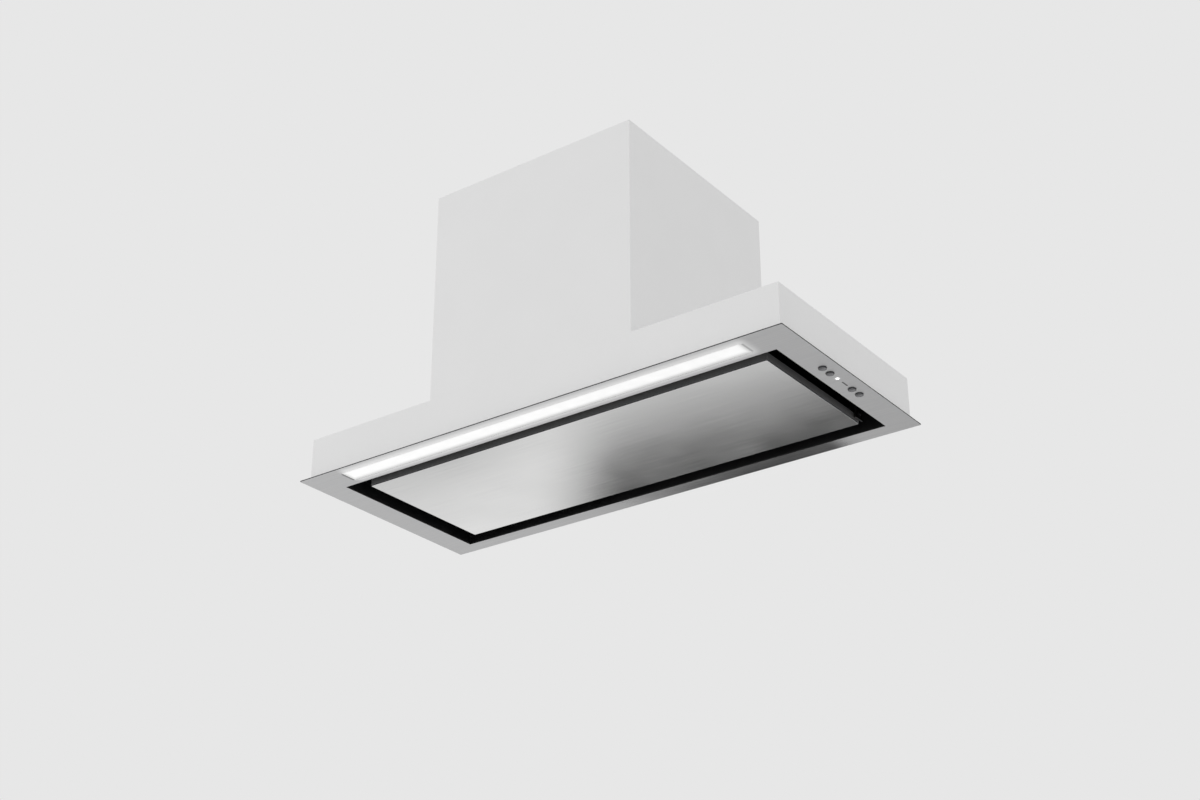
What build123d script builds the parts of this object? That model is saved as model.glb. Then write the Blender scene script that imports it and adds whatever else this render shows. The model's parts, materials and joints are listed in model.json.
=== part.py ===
from build123d import *
from math import acos, cos, pi, radians, sin
import os

# A built-in ceiling range hood: a stainless face plate under a shallow casing, with a
# motor tower on top. Millimetres. +X is the user's right, -Y is the user's side, +Z is up.
# The origin is the centre of the plane where the face plate's lip bears on the board
# above it, so the plate lies just below z = 0 and everything else stands above it.

# Face plate
plate_width = 860.0
plate_depth = 380.0
plate_sheet = 1.5
plate_corner_radius = 1.0
opening_side_margin = 43.0
opening_front_margin = 56.6
opening_back_margin = 26.9

# Casing and motor tower
lip_width = 10.0
lip_depth = 13.0
casing_height = 70.5
casing_sheet = 1.0
tower_width = 365.0
tower_top = 420.5
cover_sheet = 1.5
air_hole_side_margin = 31.5
air_hole_end_margin = 36.0
rear_flange = 15.0

# Corner posts that carry the hood from four hanger holes
post_leg = 20.0
post_sheet = 2.0
post_foot = 30.0
post_head = 50.0
post_head_sheet = 3.0
hanger_inset_x = 32.5
hanger_inset_y = 32.0
hanger_hole_radius = 3.5

# Sheet-metal screws
screw_radius = 2.0
screw_hole_radius = 2.15
screw_head_radius = 3.8
screw_head_height = 2.4
screw_length = 8.0
rear_screw_inset = 8.0
rear_screw_end = 30.25
rear_screw_rows = 4
cover_screw_spacing = 120.0
foot_screw_offset = 9.0

# Intake liner, the black tray behind the opening
liner_sheet = 1.0
liner_height = 43.5
liner_flange = 6.0

# Grease filters
filter_side_gap = 54.0
filter_end_gap = 17.25
filter_middle_gap = 6.0
filter_height = 9.0
filter_bar = 12.0
filter_seat_gap = 0.3
mesh_height = 6.0
mesh_gap = 0.3
rail_sheet = 1.5
rail_depth = 22.0

# Filter latches
latch_width = 20.0
latch_length = 26.0
latch_height = 4.6
latch_reach = 7.0
latch_travel = 5.0
latch_play = 0.3
latch_block_width = 44.0
latch_block_depth = 30.0
latch_channel_depth = 27.0
latch_cover_sheet = 1.0
latch_cover_width = 32.0
thumb_width = 8.0
thumb_length = 6.0
thumb_drop = 3.5
thumb_setback = 4.0
keeper_sheet = 2.0
keeper_width = 30.0
keeper_drop = 11.0
keeper_gap = 3.0

# Perimeter panel
panel_side_gap = 29.0
panel_end_gap = 23.25
panel_recess = 2.3
panel_sheet = 1.0
panel_rim = 25.0
panel_return = 8.0
panel_corner_radius = 3.0
panel_bend_radius = 1.2
panel_back_sheet = 1.0
panel_back_inset = 3.0
stiffener_width = 34.0
stiffener_sheet = 0.8
stiffener_pitch = 220.0
stiffener_end_gap = 6.0
stiffener_gap = 0.3

# Panel hinge
hinge_setback = 7.8
hinge_rise = 14.0
hinge_pin_radius = 2.5
hinge_pin_play = 0.05
hinge_pin_head_radius = 6.0
hinge_pin_head = 2.0
hinge_ear_gap = 2.0
hinge_ear_sheet = 2.5
hinge_ear_width = 20.0
hinge_ear_drop = 8.0
hinge_foot = 22.0
hinge_foot_sheet = 2.0
hinge_clip_gap = 0.4
hinge_clip_radius = 4.5
hinge_clip_sheet = 0.8
hinge_groove_radius = 2.1
hinge_pin_end = 2.0

# Magnetic catches that hold the panel shut
catch_side_inset = 13.0
catch_front_inset = 25.15
catch_width = 14.0
catch_length = 32.0
catch_gap = 0.3
magnet_height = 5.0
magnet_wall = 2.0

# Light strip
light_end_margin = 73.0
light_depth = 31.4
light_front_margin = 14.3
light_gap = 0.1
diffuser_sheet = 2.0
diffuser_shoulder = 1.4
channel_sheet = 1.2
channel_height = 16.0
channel_end = 4.0
channel_rear_lip = 1.8
channel_front_lip = 0.2
board_width = 20.0
board_end = 4.0
board_sheet = 1.6
chip_size = 3.0
chip_height = 0.7
chip_pitch = 15.0
chip_end = 12.0

# Controls: four push buttons and an indicator in one row on the right-hand margin
controls_edge_gap = 22.0
control_pitch = 20.0
control_places = 6
button_places = (0, 1, 4, 5)
lens_place = 2
mark_place = 3
button_radius = 5.85
button_hole_gap = 0.25
button_proud = 1.8
button_travel = 1.5
button_edge = 0.5
button_dish_radius = 4.6
button_dish_depth = 0.5
button_flange_radius = 7.2
button_flange = 1.2
button_flange_gap = 0.3
stem_radius = 3.0
stem_gap = 0.1
stem_length = 6.5
lens_radius = 2.5
lens_gap = 0.2
lens_proud = 0.3
lens_flange_radius = 4.0
lens_flange = 1.0
mark_length = 14.0
mark_width = 1.3
mark_depth = 0.4
keypad_inner_reach = 13.0
keypad_outer_reach = 10.5
keypad_length = 128.0
keypad_pocket = 3.6
keypad_guide = 4.6
keypad_height = 12.0
keypad_wall = 2.5
circuit_sheet = 1.6
switch_size = 6.0
switch_gap = 0.3

# Blower scroll, round an axis along X
blower_setback = 132.0
blower_z = 238.0
blower_width = 170.0
blower_sheet = 1.0
cutoff_radius = 108.0
scroll_radius = 160.0
cutoff_offset = 28.0
throat_flange = 12.0
throat_flange_sheet = 1.5
scroll_stations = 13
inlet_radius = 75.0
inlet_ring_sheet = 1.5
inlet_ring_depth = 8.0

# Impeller
impeller_radius = 95.0
impeller_inner_radius = 79.0
impeller_width = 150.0
impeller_ring = 3.0
impeller_disc = 3.0
impeller_hub_radius = 12.0
impeller_hub_length = 30.0
blade_count = 32
blade_sheet = 1.2
blade_chord = 17.0
blade_slant = 35.0

# Motor
shaft_radius = 4.0
shaft_play = 0.03
shaft_left_end = -14.0
motor_radius = 42.0
motor_start = 24.0
motor_length = 64.5
motor_wall = 3.0
motor_shield = 8.0
bearing_radius = 11.0
bearing_play = 0.02
bearing_width = 7.0
stator_inner_radius = 24.5
stator_length = 36.0
stator_gap = 0.1
rotor_radius = 24.0
bracket_sheet = 3.0
bracket_hub_radius = 30.0
bracket_hole_radius = 6.0
bracket_arm_width = 16.0
bracket_screw_radius = 92.0
bracket_foot_radius = 8.0
bracket_arms = 3
bush_radius = 7.0
bush_height = 2.5

# Capacitor and control electronics on the tower's side walls
capacitor_radius = 16.0
capacitor_height = 62.0
capacitor_setback = 96.0
capacitor_z = 150.0
strap_sheet = 1.2
strap_width = 12.0
strap_foot = 14.0
strap_gap = 0.1
electronics_depth = 36.0
electronics_setback = 56.0
electronics_length = 130.0
electronics_bottom = 110.0
electronics_height = 170.0
electronics_wall = 2.0
electronics_lid = 2.0
electronics_post = 6.0
electronics_post_height = 8.0
board_gap = 0.3
terminal_size = (14.0, 60.0, 16.0)
terminal_setback = 8.0
transformer_size = (20.0, 42.0, 38.0)
transformer_rise = 20.0
driver_keypad_gap = 12.0
driver_length = 88.0
driver_height = 22.0
driver_width = 22.0

# Duct collar with its two non-return flaps
duct_radius = 74.5
duct_sheet = 1.5
duct_height = 43.5
valve_seat_radius = 64.0
collar_flange_radius = 88.0
collar_flange_sheet = 1.5
flap_radius = 71.5
flap_sheet = 1.2
flap_gap = 0.4
flap_root = 4.5
flap_pin_radius = 2.0
flap_pin_play = 0.06
knuckle_radius = 3.5
knuckle_length = 31.0
knuckle_gap = 1.5
flap_knuckle_places = (-1.5, 0.5)
pin_boss_radius = 3.4
pin_boss_depth = 3.2
pin_end_gap = 0.5

# Mains inlet gland
gland_inset_x = 72.5
gland_inset_y = 57.0
gland_bore_radius = 4.5
gland_thread_radius = 9.9
gland_hole_gap = 0.15
gland_head_radius = 13.0
gland_head_height = 10.0
gland_nut_height = 5.0
gland_thread_length = 12.0

# Internal leads
lead_radius = 2.5
lead_bend = 9.0
lead_drop = 18.0
lead_layer = 5.0
lead_starts = (30.0, 60.0)
lead_insets = (8.0, 14.0)
motor_lead_run = 26.0
motor_lead_heights = (-10.0, -35.0)

cut_over = 1.0

# Places worked out from the sizes above
plate_bottom = -plate_sheet
plate_front = -plate_depth / 2
casing_width = plate_width - 2 * lip_width
casing_depth = plate_depth - 2 * lip_depth
air_hole_width = tower_width - 2 * casing_sheet - 2 * air_hole_side_margin
air_hole_depth = casing_depth - 2 * casing_sheet - 2 * air_hole_end_margin
opening_width = plate_width - 2 * opening_side_margin
opening_x = (-opening_width / 2, opening_width / 2)
opening_y = (plate_front + opening_front_margin, plate_depth / 2 - opening_back_margin)
light_width = plate_width - 2 * light_end_margin
light_x = (-light_width / 2, light_width / 2)
light_y = (
    plate_front + light_front_margin,
    plate_front + light_front_margin + light_depth,
)
controls_x = plate_width / 2 - controls_edge_gap
keypad_left = controls_x - keypad_inner_reach
keypad_right = controls_x + keypad_outer_reach
liner_ceiling = liner_height - liner_sheet
filter_top = liner_ceiling - filter_seat_gap
filter_bottom = filter_top - filter_height
filter_front = opening_y[0] + filter_end_gap
filter_back = opening_y[1] - filter_end_gap
filter_width = (opening_width - 2 * filter_side_gap - filter_middle_gap) / 2
filter_spacing = filter_width + filter_middle_gap
panel_bottom = plate_bottom + panel_recess
panel_top = panel_bottom + panel_rim
panel_width = opening_width - 2 * panel_side_gap
panel_y = (opening_y[0] + panel_end_gap, opening_y[1] - panel_end_gap)
catch_x = panel_width / 2 - catch_side_inset
catch_y = panel_y[0] + catch_front_inset
hinge_y = panel_y[1] - hinge_setback
hinge_z = plate_bottom + hinge_rise
tower_y = (-casing_depth / 2, casing_depth / 2)
tower_wall_top = tower_top - cover_sheet
tower_inner_x = tower_width / 2 - casing_sheet
blower_y = tower_y[0] + blower_setback
throat_front = blower_y + cutoff_offset
scroll_back = blower_y + scroll_radius
duct_y = (throat_front + scroll_back) / 2
motor_end = motor_start + motor_length
blower_side = blower_width / 2
seat_top = tower_top + collar_flange_sheet
flap_pin_z = seat_top + flap_gap + knuckle_radius
capacitor_y = tower_y[0] + casing_sheet + capacitor_setback
electronics_front = tower_y[0] + casing_sheet + electronics_setback
driver_front = keypad_length / 2 + driver_keypad_gap
gland_x = -tower_width / 2 + gland_inset_x
gland_y = tower_y[0] + gland_inset_y


def span(middle, width):
    """The low and high ends of a width round its middle."""
    return (middle - width / 2, middle + width / 2)


def block(x, y, z):
    """A box between three pairs of low and high ends."""
    size = [high - low for low, high in (x, y, z)]
    middle = [(high + low) / 2 for low, high in (x, y, z)]
    return Pos(*middle) * Box(*size)


def upright(radius, x, y, z):
    """A cylinder along Z between the two ends in z."""
    return Pos(x, y, sum(z) / 2) * Cylinder(radius, z[1] - z[0])


def crosswise(radius, x, y, z):
    """A cylinder along X between the two ends in x."""
    return Pos(sum(x) / 2, y, z) * Rot(0, 90, 0) * Cylinder(radius, x[1] - x[0])


def lengthwise(radius, x, y, z):
    """A cylinder along Y between the two ends in y."""
    return Pos(x, sum(y) / 2, z) * Rot(90, 0, 0) * Cylinder(radius, y[1] - y[0])


def grow(pair, amount):
    """A pair of ends moved apart by amount at each end."""
    return (pair[0] - amount, pair[1] + amount)


def save(node, *shapes):
    """Write the solids of one named sub-part to its STEP file."""
    solids = [solid for shape in shapes for solid in shape.solids()]
    export_step(Compound(solids), f"parts/{node}.step")


# ---- face plate and controls ----

def control_y(place):
    """Where a place in the row of controls lies, counted from the front."""
    return (place - (control_places - 1) / 2) * control_pitch


def face_plate():
    through = (plate_bottom - cut_over, cut_over)
    plate = block(span(0, plate_width), span(0, plate_depth), (plate_bottom, 0))
    plate = fillet(plate.edges().filter_by(Axis.Z), plate_corner_radius)
    plate -= block(opening_x, opening_y, through)
    plate -= block(light_x, light_y, through)
    for place in button_places:
        plate -= upright(button_radius + button_hole_gap, controls_x, control_y(place), through)
    plate -= upright(lens_radius + lens_gap, controls_x, control_y(lens_place), through)
    plate -= block(
        span(controls_x, mark_width),
        span(control_y(mark_place), mark_length),
        (plate_bottom - cut_over, plate_bottom + mark_depth),
    )
    return plate


def push_button(place):
    """Cap with a dished face, a stop flange above the plate and a guide stem."""
    y = control_y(place)
    face = plate_bottom - button_proud
    flange_bottom = button_flange_gap
    flange_top = flange_bottom + button_flange
    cap = upright(button_radius, controls_x, y, (face, flange_bottom))
    cap = fillet(cap.faces().sort_by(Axis.Z)[0].edges(), button_edge)
    ball_radius = (button_dish_radius**2 + button_dish_depth**2) / (2 * button_dish_depth)
    cap -= Pos(controls_x, y, face + button_dish_depth - ball_radius) * Sphere(ball_radius)
    cap += upright(button_flange_radius, controls_x, y, (flange_bottom, flange_top))
    cap += upright(stem_radius, controls_x, y, (flange_top, flange_top + stem_length))
    return cap


def keypad_housing():
    """Plastic block on the plate with a guide for each button and a pocket for the switches."""
    body = block((keypad_left, keypad_right), span(0, keypad_length), (0, keypad_height))
    guide_top = keypad_pocket + keypad_guide
    for place in button_places:
        y = control_y(place)
        body -= upright(
            button_flange_radius + button_hole_gap, controls_x, y, (-cut_over, keypad_pocket)
        )
        body -= upright(stem_radius + stem_gap, controls_x, y, (0, keypad_height))
    y = control_y(lens_place)
    body -= upright(lens_flange_radius + lens_gap, controls_x, y, (-cut_over, lens_flange + lens_gap))
    body -= upright(lens_radius + lens_gap, controls_x, y, (0, keypad_height))
    pocket_x = (keypad_left + keypad_wall, keypad_right - keypad_wall)
    body -= block(
        pocket_x, span(0, keypad_length - 2 * keypad_wall), (guide_top, keypad_height + cut_over)
    )
    return body


def keypad_board():
    """Circuit board that closes the keypad, with a switch over each stem."""
    board = block(
        (keypad_left, keypad_right),
        span(0, keypad_length),
        (keypad_height, keypad_height + circuit_sheet),
    )
    stem_end = button_flange_gap + button_flange + stem_length + button_travel
    switches = [
        block(
            span(controls_x, switch_size),
            span(control_y(place), switch_size),
            (stem_end + switch_gap, keypad_height),
        )
        for place in button_places
    ]
    return [board] + switches


def indicator_lens():
    y = control_y(lens_place)
    ends = (plate_bottom - lens_proud, keypad_pocket + keypad_guide)
    lens = upright(lens_radius, controls_x, y, ends)
    return lens + upright(lens_flange_radius, controls_x, y, (0, lens_flange))


# ---- light strip ----

channel_y = (light_y[0] - channel_front_lip, light_y[1] + channel_rear_lip)
channel_inner_y = (channel_y[0] + channel_sheet, channel_y[1] - channel_sheet)
channel_x = grow(light_x, channel_end)
board_bottom = channel_height - channel_sheet - board_sheet


def light_diffuser():
    """White strip that fills the slot, with a wider shoulder that lies on the plate."""
    strip = block(grow(light_x, -light_gap), grow(light_y, -light_gap), (plate_bottom, 0))
    shoulder = block(
        grow(light_x, diffuser_shoulder), grow(channel_inner_y, -light_gap), (0, diffuser_sheet)
    )
    return strip + shoulder


def light_channel():
    """Aluminium channel over the diffuser, open downwards and closed at its ends."""
    outer = block(channel_x, channel_y, (0, channel_height))
    inner = block(
        grow(channel_x, -channel_sheet), channel_inner_y, (-cut_over, channel_height - channel_sheet)
    )
    return outer - inner


def light_board():
    middle = sum(channel_inner_y) / 2
    board_z = (board_bottom, board_bottom + board_sheet)
    return block(grow(light_x, -board_end), span(middle, board_width), board_z)


def light_chips():
    middle = sum(channel_inner_y) / 2
    chip_count = int((light_width - 2 * chip_end) / chip_pitch) + 1
    first = -(chip_count - 1) * chip_pitch / 2
    return [
        block(
            span(first + i * chip_pitch, chip_size),
            span(middle, chip_size),
            (board_bottom - chip_height, board_bottom),
        )
        for i in range(chip_count)
    ]


def light_driver():
    """Power supply on the right-hand margin behind the keypad."""
    x = (keypad_left, keypad_left + driver_width)
    case = block(x, (driver_front, driver_front + driver_length), (0, driver_height))
    return chamfer(case.edges().filter_by(Axis.Y), plate_corner_radius)


# ---- casing and tower ----

casing_x = span(0, casing_width)
casing_y = span(0, casing_depth)
tower_x = span(0, tower_width)


def post_corners():
    """The sign of X and Y at each of the four corners."""
    return [(sx, sy) for sx in (-1, 1) for sy in (-1, 1)]


def hanger_places():
    """X and Y of the four hanger holes."""
    x = tower_width / 2 - hanger_inset_x
    y = casing_depth / 2 - hanger_inset_y
    return {corner: (corner[0] * x, corner[1] * y) for corner in post_corners()}


def foot_screw_place(sx, sy):
    x = sx * (tower_inner_x - post_foot + foot_screw_offset)
    y = sy * (casing_depth / 2 - casing_sheet - post_foot + foot_screw_offset)
    return x, y


def lower_casing():
    """Shallow box over the plate, open below, with the air hole under the tower."""
    outer = block(casing_x, casing_y, (0, casing_height))
    inner = block(
        grow(casing_x, -casing_sheet),
        grow(casing_y, -casing_sheet),
        (-cut_over, casing_height - casing_sheet),
    )
    box = outer - inner
    box -= block(span(0, air_hole_width), span(0, air_hole_depth), (0, casing_height + cut_over))
    for sx, sy in post_corners():
        x, y = foot_screw_place(sx, sy)
        box -= upright(screw_hole_radius, x, y, (0, casing_height + cut_over))
    return box


def rear_screw_places():
    """X and Z of the screws that hold the rear cover."""
    x = tower_width / 2 - rear_screw_inset
    low = casing_height + rear_screw_end
    pitch = (tower_wall_top - rear_screw_end - low) / (rear_screw_rows - 1)
    return [(sx * x, low + i * pitch) for sx in (-1, 1) for i in range(rear_screw_rows)]


def tower_wrap():
    """Front and side walls in one folded sheet, with two flanges behind for the rear cover."""
    y = (tower_y[0], tower_y[1] - casing_sheet)
    z = (casing_height, tower_wall_top)
    wrap = block(tower_x, y, z)
    wrap -= block(
        grow(tower_x, -casing_sheet), (y[0] + casing_sheet, y[1] - casing_sheet), grow(z, cut_over)
    )
    wrap -= block(
        grow(tower_x, -rear_flange), (y[1] - 2 * casing_sheet, y[1] + cut_over), grow(z, cut_over)
    )
    for x, height in rear_screw_places():
        wrap -= lengthwise(screw_hole_radius, x, (y[1] - 2 * casing_sheet, y[1] + cut_over), height)
    return wrap


def tower_rear_cover():
    y = (tower_y[1] - casing_sheet, tower_y[1])
    cover = block(tower_x, y, (casing_height, tower_wall_top))
    for x, height in rear_screw_places():
        cover -= lengthwise(screw_hole_radius, x, grow(y, cut_over), height)
    return cover


def cover_screw_places():
    """X and Y of the screws that hold the top cover to the blower's flange."""
    x = blower_side + throat_flange / 2
    return [(sx * x, duct_y + sy * cover_screw_spacing / 2) for sx, sy in post_corners()]


def top_cover():
    z = (tower_wall_top - cut_over, tower_top + cut_over)
    cover = block(tower_x, tower_y, (tower_wall_top, tower_top))
    cover -= upright(valve_seat_radius, 0, duct_y, z)
    cover -= upright(gland_thread_radius + gland_hole_gap, gland_x, gland_y, z)
    for x, y in hanger_places().values():
        cover -= upright(hanger_hole_radius, x, y, z)
    for x, y in cover_screw_places():
        cover -= upright(screw_hole_radius, x, y, z)
    return cover


def corner_post(sx, sy):
    """Angle post in a corner of the tower, with a foot below and a hanger plate above."""
    x = tower_inner_x
    y = casing_depth / 2 - casing_sheet
    if sy > 0:
        y -= casing_sheet
    z = (casing_height, tower_wall_top)
    flat = block(sorted_ends(sx, x - post_sheet, x), sorted_ends(sy, y - post_leg, y), z)
    edge = block(sorted_ends(sx, x - post_leg, x), sorted_ends(sy, y - post_sheet, y), z)
    foot = block(
        sorted_ends(sx, x - post_foot, x),
        sorted_ends(sy, y - post_foot, y),
        (z[0], z[0] + post_sheet),
    )
    head = block(
        sorted_ends(sx, x - post_head, x),
        sorted_ends(sy, y - post_head, y),
        (z[1] - post_head_sheet, z[1]),
    )
    screw_x, screw_y = foot_screw_place(sx, sy)
    foot -= upright(screw_hole_radius, screw_x, screw_y, grow(z, cut_over))
    head -= upright(hanger_hole_radius, *hanger_places()[sx, sy], grow(z, cut_over))
    if sy > 0:
        for hole_x, height in rear_screw_places():
            edge -= lengthwise(screw_hole_radius, hole_x, (y - post_sheet, y), height)
    return flat + edge + foot + head


def sorted_ends(sign, low, high):
    """A pair of ends on the side that sign gives."""
    return (low, high) if sign > 0 else (-high, -low)


def screw(x, y, z, direction):
    """A pan-head screw whose head sits at x, y, z and whose shank runs along direction."""
    seat = Plane(origin=(x, y, z), z_dir=direction)
    shank = seat * Pos(0, 0, screw_length / 2) * Cylinder(screw_radius, screw_length)
    head = seat * Pos(0, 0, -screw_head_height / 2) * Cylinder(screw_head_radius, screw_head_height)
    return shank + head


def casing_screws():
    """Screws of the rear cover, the top cover and the feet of the posts."""
    screws = [screw(x, tower_y[1], z, (0, -1, 0)) for x, z in rear_screw_places()]
    screws += [screw(x, y, tower_top, (0, 0, -1)) for x, y in cover_screw_places()]
    for sx, sy in post_corners():
        x, y = foot_screw_place(sx, sy)
        screws.append(screw(x, y, casing_height + post_sheet, (0, 0, -1)))
    return screws


# ---- intake liner, filters and their latches ----

liner_x = grow(opening_x, liner_sheet)
liner_y = grow(opening_y, liner_sheet)


def filter_centres():
    return (-filter_spacing / 2, filter_spacing / 2)


def intake_liner():
    """Black tray round the opening, with a flange on the plate and two filter openings above."""
    tray = block(liner_x, liner_y, (0, liner_height))
    tray += block(grow(liner_x, liner_flange), grow(liner_y, liner_flange), (0, liner_sheet))
    tray -= block(opening_x, opening_y, (-cut_over, liner_ceiling))
    for x in filter_centres():
        tray -= block(
            span(x, filter_width - 2 * filter_bar),
            grow((filter_front, filter_back), -filter_bar),
            (0, liner_height + cut_over),
        )
    return tray


def filter_rail():
    """Angle rail on the liner's rear wall that carries the back edge of both filters."""
    x = span(0, filter_spacing + filter_width)
    top = filter_bottom - filter_seat_gap
    shelf = block(x, (opening_y[1] - rail_depth, opening_y[1]), (top - rail_sheet, top))
    return shelf + block(x, (opening_y[1] - rail_sheet, opening_y[1]), (top - rail_sheet, liner_ceiling))


def latch_channel(x):
    return block(
        span(x, latch_width + 2 * latch_play),
        (filter_front - cut_over, filter_front + latch_channel_depth),
        (filter_bottom - cut_over, filter_bottom + latch_height + 2 * latch_play),
    )


def filter_frame(x):
    """Aluminium frame with a solid block at the front that holds the latch."""
    outer_x = span(x, filter_width)
    outer_y = (filter_front, filter_back)
    z = (filter_bottom, filter_top)
    frame = block(outer_x, outer_y, z)
    frame -= block(grow(outer_x, -filter_bar), grow(outer_y, -filter_bar), grow(z, cut_over))
    frame += block(
        span(x, latch_block_width), (filter_front, filter_front + latch_block_depth), z
    )
    return frame - latch_channel(x)


def filter_mesh(x):
    """Pack of expanded metal inside the frame, notched round the latch block."""
    middle = (filter_bottom + filter_top) / 2
    pad = block(
        span(x, filter_width - 2 * (filter_bar + mesh_gap)),
        grow((filter_front, filter_back), -filter_bar - mesh_gap),
        span(middle, mesh_height),
    )
    return pad - block(
        span(x, latch_block_width + 2 * mesh_gap),
        (filter_front, filter_front + latch_block_depth + mesh_gap),
        span(middle, mesh_height + cut_over),
    )


def filter_latch(x):
    """Sliding bolt whose nose enters the keeper, with a thumb tab below."""
    low = filter_bottom + latch_play
    bolt = block(
        span(x, latch_width),
        (filter_front - latch_reach, filter_front - latch_reach + latch_length),
        (low, low + latch_height),
    )
    tab_front = filter_front + thumb_setback
    tab = block(
        span(x, thumb_width),
        (tab_front, tab_front + thumb_length),
        (filter_bottom - thumb_drop, low + latch_height),
    )
    return bolt + tab


def latch_cover(x):
    """Plate under the latch block that keeps the bolt in, slotted for its thumb tab."""
    z = (filter_bottom - latch_cover_sheet, filter_bottom)
    plate = block(
        span(x, latch_cover_width), (filter_front, filter_front + latch_block_depth - thumb_setback), z
    )
    tab_front = filter_front + thumb_setback
    return plate - block(
        span(x, thumb_width + 2 * latch_play),
        (tab_front - latch_play, tab_front + thumb_length + latch_travel + latch_play),
        grow(z, cut_over),
    )


def latch_keeper(x):
    """Tab hanging from the liner with the slot that the bolt's nose enters."""
    y = (filter_front - keeper_gap - keeper_sheet, filter_front - keeper_gap)
    tab = block(span(x, keeper_width), y, (liner_ceiling - keeper_drop, liner_ceiling))
    slot_z = (filter_bottom, filter_bottom + latch_height + 2 * latch_play)
    return tab - block(span(x, latch_width + 2 * latch_play), grow(y, cut_over), slot_z)


# ---- perimeter panel, its hinge and catches ----

panel_x = span(0, panel_width)


def panel_skin():
    """Stainless tray: flat face below, folded rim, and a return flange round its top."""
    z = (panel_bottom, panel_top)
    tray = block(panel_x, panel_y, z)
    tray = fillet(tray.edges().filter_by(Axis.Z), panel_corner_radius)
    tray = fillet(tray.faces().sort_by(Axis.Z)[0].edges(), panel_bend_radius)
    tray -= block(grow(panel_x, -panel_sheet), grow(panel_y, -panel_sheet), grow(z, -panel_sheet))
    tray -= block(
        grow(panel_x, -panel_return),
        grow(panel_y, -panel_return),
        (panel_top - 2 * panel_sheet, panel_top + cut_over),
    )
    pin_hole = hinge_pin_radius + hinge_pin_play
    return tray - crosswise(pin_hole, grow(panel_x, cut_over), hinge_y, hinge_z)


def panel_back():
    """Steel cover on the return flange, which the magnets hold."""
    return block(
        grow(panel_x, -panel_back_inset),
        grow(panel_y, -panel_back_inset),
        (panel_top, panel_top + panel_back_sheet),
    )


def panel_stiffener(x):
    """Hat channel inside the panel, standing on its face."""
    y = grow(panel_y, -panel_sheet - stiffener_end_gap)
    z = (panel_bottom + panel_sheet, panel_top - panel_sheet - stiffener_gap)
    hat = block(span(x, stiffener_width), y, z)
    return hat - block(
        span(x, stiffener_width - 2 * stiffener_sheet),
        grow(y, cut_over),
        (z[0] - cut_over, z[1] - stiffener_sheet),
    )


def hinge_ear_x():
    """The inner and outer faces of the bracket's ear, at the right-hand end."""
    inner = panel_width / 2 + hinge_ear_gap
    return (inner, inner + hinge_ear_sheet)


def hinge_clip_x():
    low = hinge_ear_x()[1] + hinge_clip_gap
    return (low, low + hinge_clip_sheet)


def hinge_pin(side):
    """Pin through the rim, with its head inside the panel and a groove for the clip."""
    rim_inside = panel_width / 2 - panel_sheet
    end = hinge_clip_x()[1] + hinge_pin_end
    pin = crosswise(hinge_pin_radius, sorted_ends(side, rim_inside, end), hinge_y, hinge_z)
    groove = sorted_ends(side, *grow(hinge_clip_x(), hinge_pin_play))
    ring = crosswise(hinge_pin_radius + cut_over, groove, hinge_y, hinge_z)
    pin -= ring - crosswise(hinge_groove_radius, groove, hinge_y, hinge_z)
    head = sorted_ends(side, rim_inside - hinge_pin_head, rim_inside)
    return pin + crosswise(hinge_pin_head_radius, head, hinge_y, hinge_z)


def hinge_clip(side):
    x = sorted_ends(side, *hinge_clip_x())
    ring = crosswise(hinge_clip_radius, x, hinge_y, hinge_z)
    return ring - crosswise(hinge_groove_radius + hinge_pin_play, x, hinge_y, hinge_z)


def hinge_bracket(side):
    """Ear beside the panel's rim, with a foot under the liner's ceiling."""
    inner, outer = hinge_ear_x()
    z = (hinge_z - hinge_ear_drop, liner_ceiling)
    y = span(hinge_y, hinge_ear_width)
    ear = block(sorted_ends(side, inner, outer), y, z)
    foot = block(
        sorted_ends(side, inner, inner + hinge_foot), y, (liner_ceiling - hinge_foot_sheet, liner_ceiling)
    )
    hole_x = grow(sorted_ends(side, inner, outer), cut_over)
    return ear + foot - crosswise(hinge_pin_radius + hinge_pin_play, hole_x, hinge_y, hinge_z)


catch_bottom = panel_top + panel_back_sheet + catch_gap


def catch_holder(side):
    """Plastic block under the liner's ceiling with a pocket for the magnet."""
    x = span(side * catch_x, catch_width)
    y = span(catch_y, catch_length)
    holder = block(x, y, (catch_bottom, liner_ceiling))
    pocket_z = (catch_bottom - cut_over, catch_bottom + magnet_height)
    return holder - block(grow(x, -magnet_wall), grow(y, -magnet_wall), pocket_z)


def catch_magnet(side):
    return block(
        span(side * catch_x, catch_width - 2 * magnet_wall),
        span(catch_y, catch_length - 2 * magnet_wall),
        (catch_bottom, catch_bottom + magnet_height),
    )


# ---- blower ----

def scroll_face(inset):
    """Section of scroll and throat across X: a spiral whose radius grows evenly with its angle."""
    first = acos((throat_front - blower_y) / cutoff_radius)
    start = acos((throat_front + inset - blower_y) / (cutoff_radius - inset))
    growth = (scroll_radius - cutoff_radius) / (2 * pi - first)
    points = []
    for i in range(scroll_stations):
        angle = start + (2 * pi - start) * i / (scroll_stations - 1)
        radius = cutoff_radius + growth * (angle - first) - inset
        points.append((blower_y + radius * cos(angle), blower_z + radius * sin(angle)))
    top = tower_wall_top + (cut_over if inset else 0)
    spiral = Spline(points)
    throat = Polyline(points[-1], (points[-1][0], top), (points[0][0], top), points[0])
    return Plane.YZ * make_face([spiral, throat])


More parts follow.
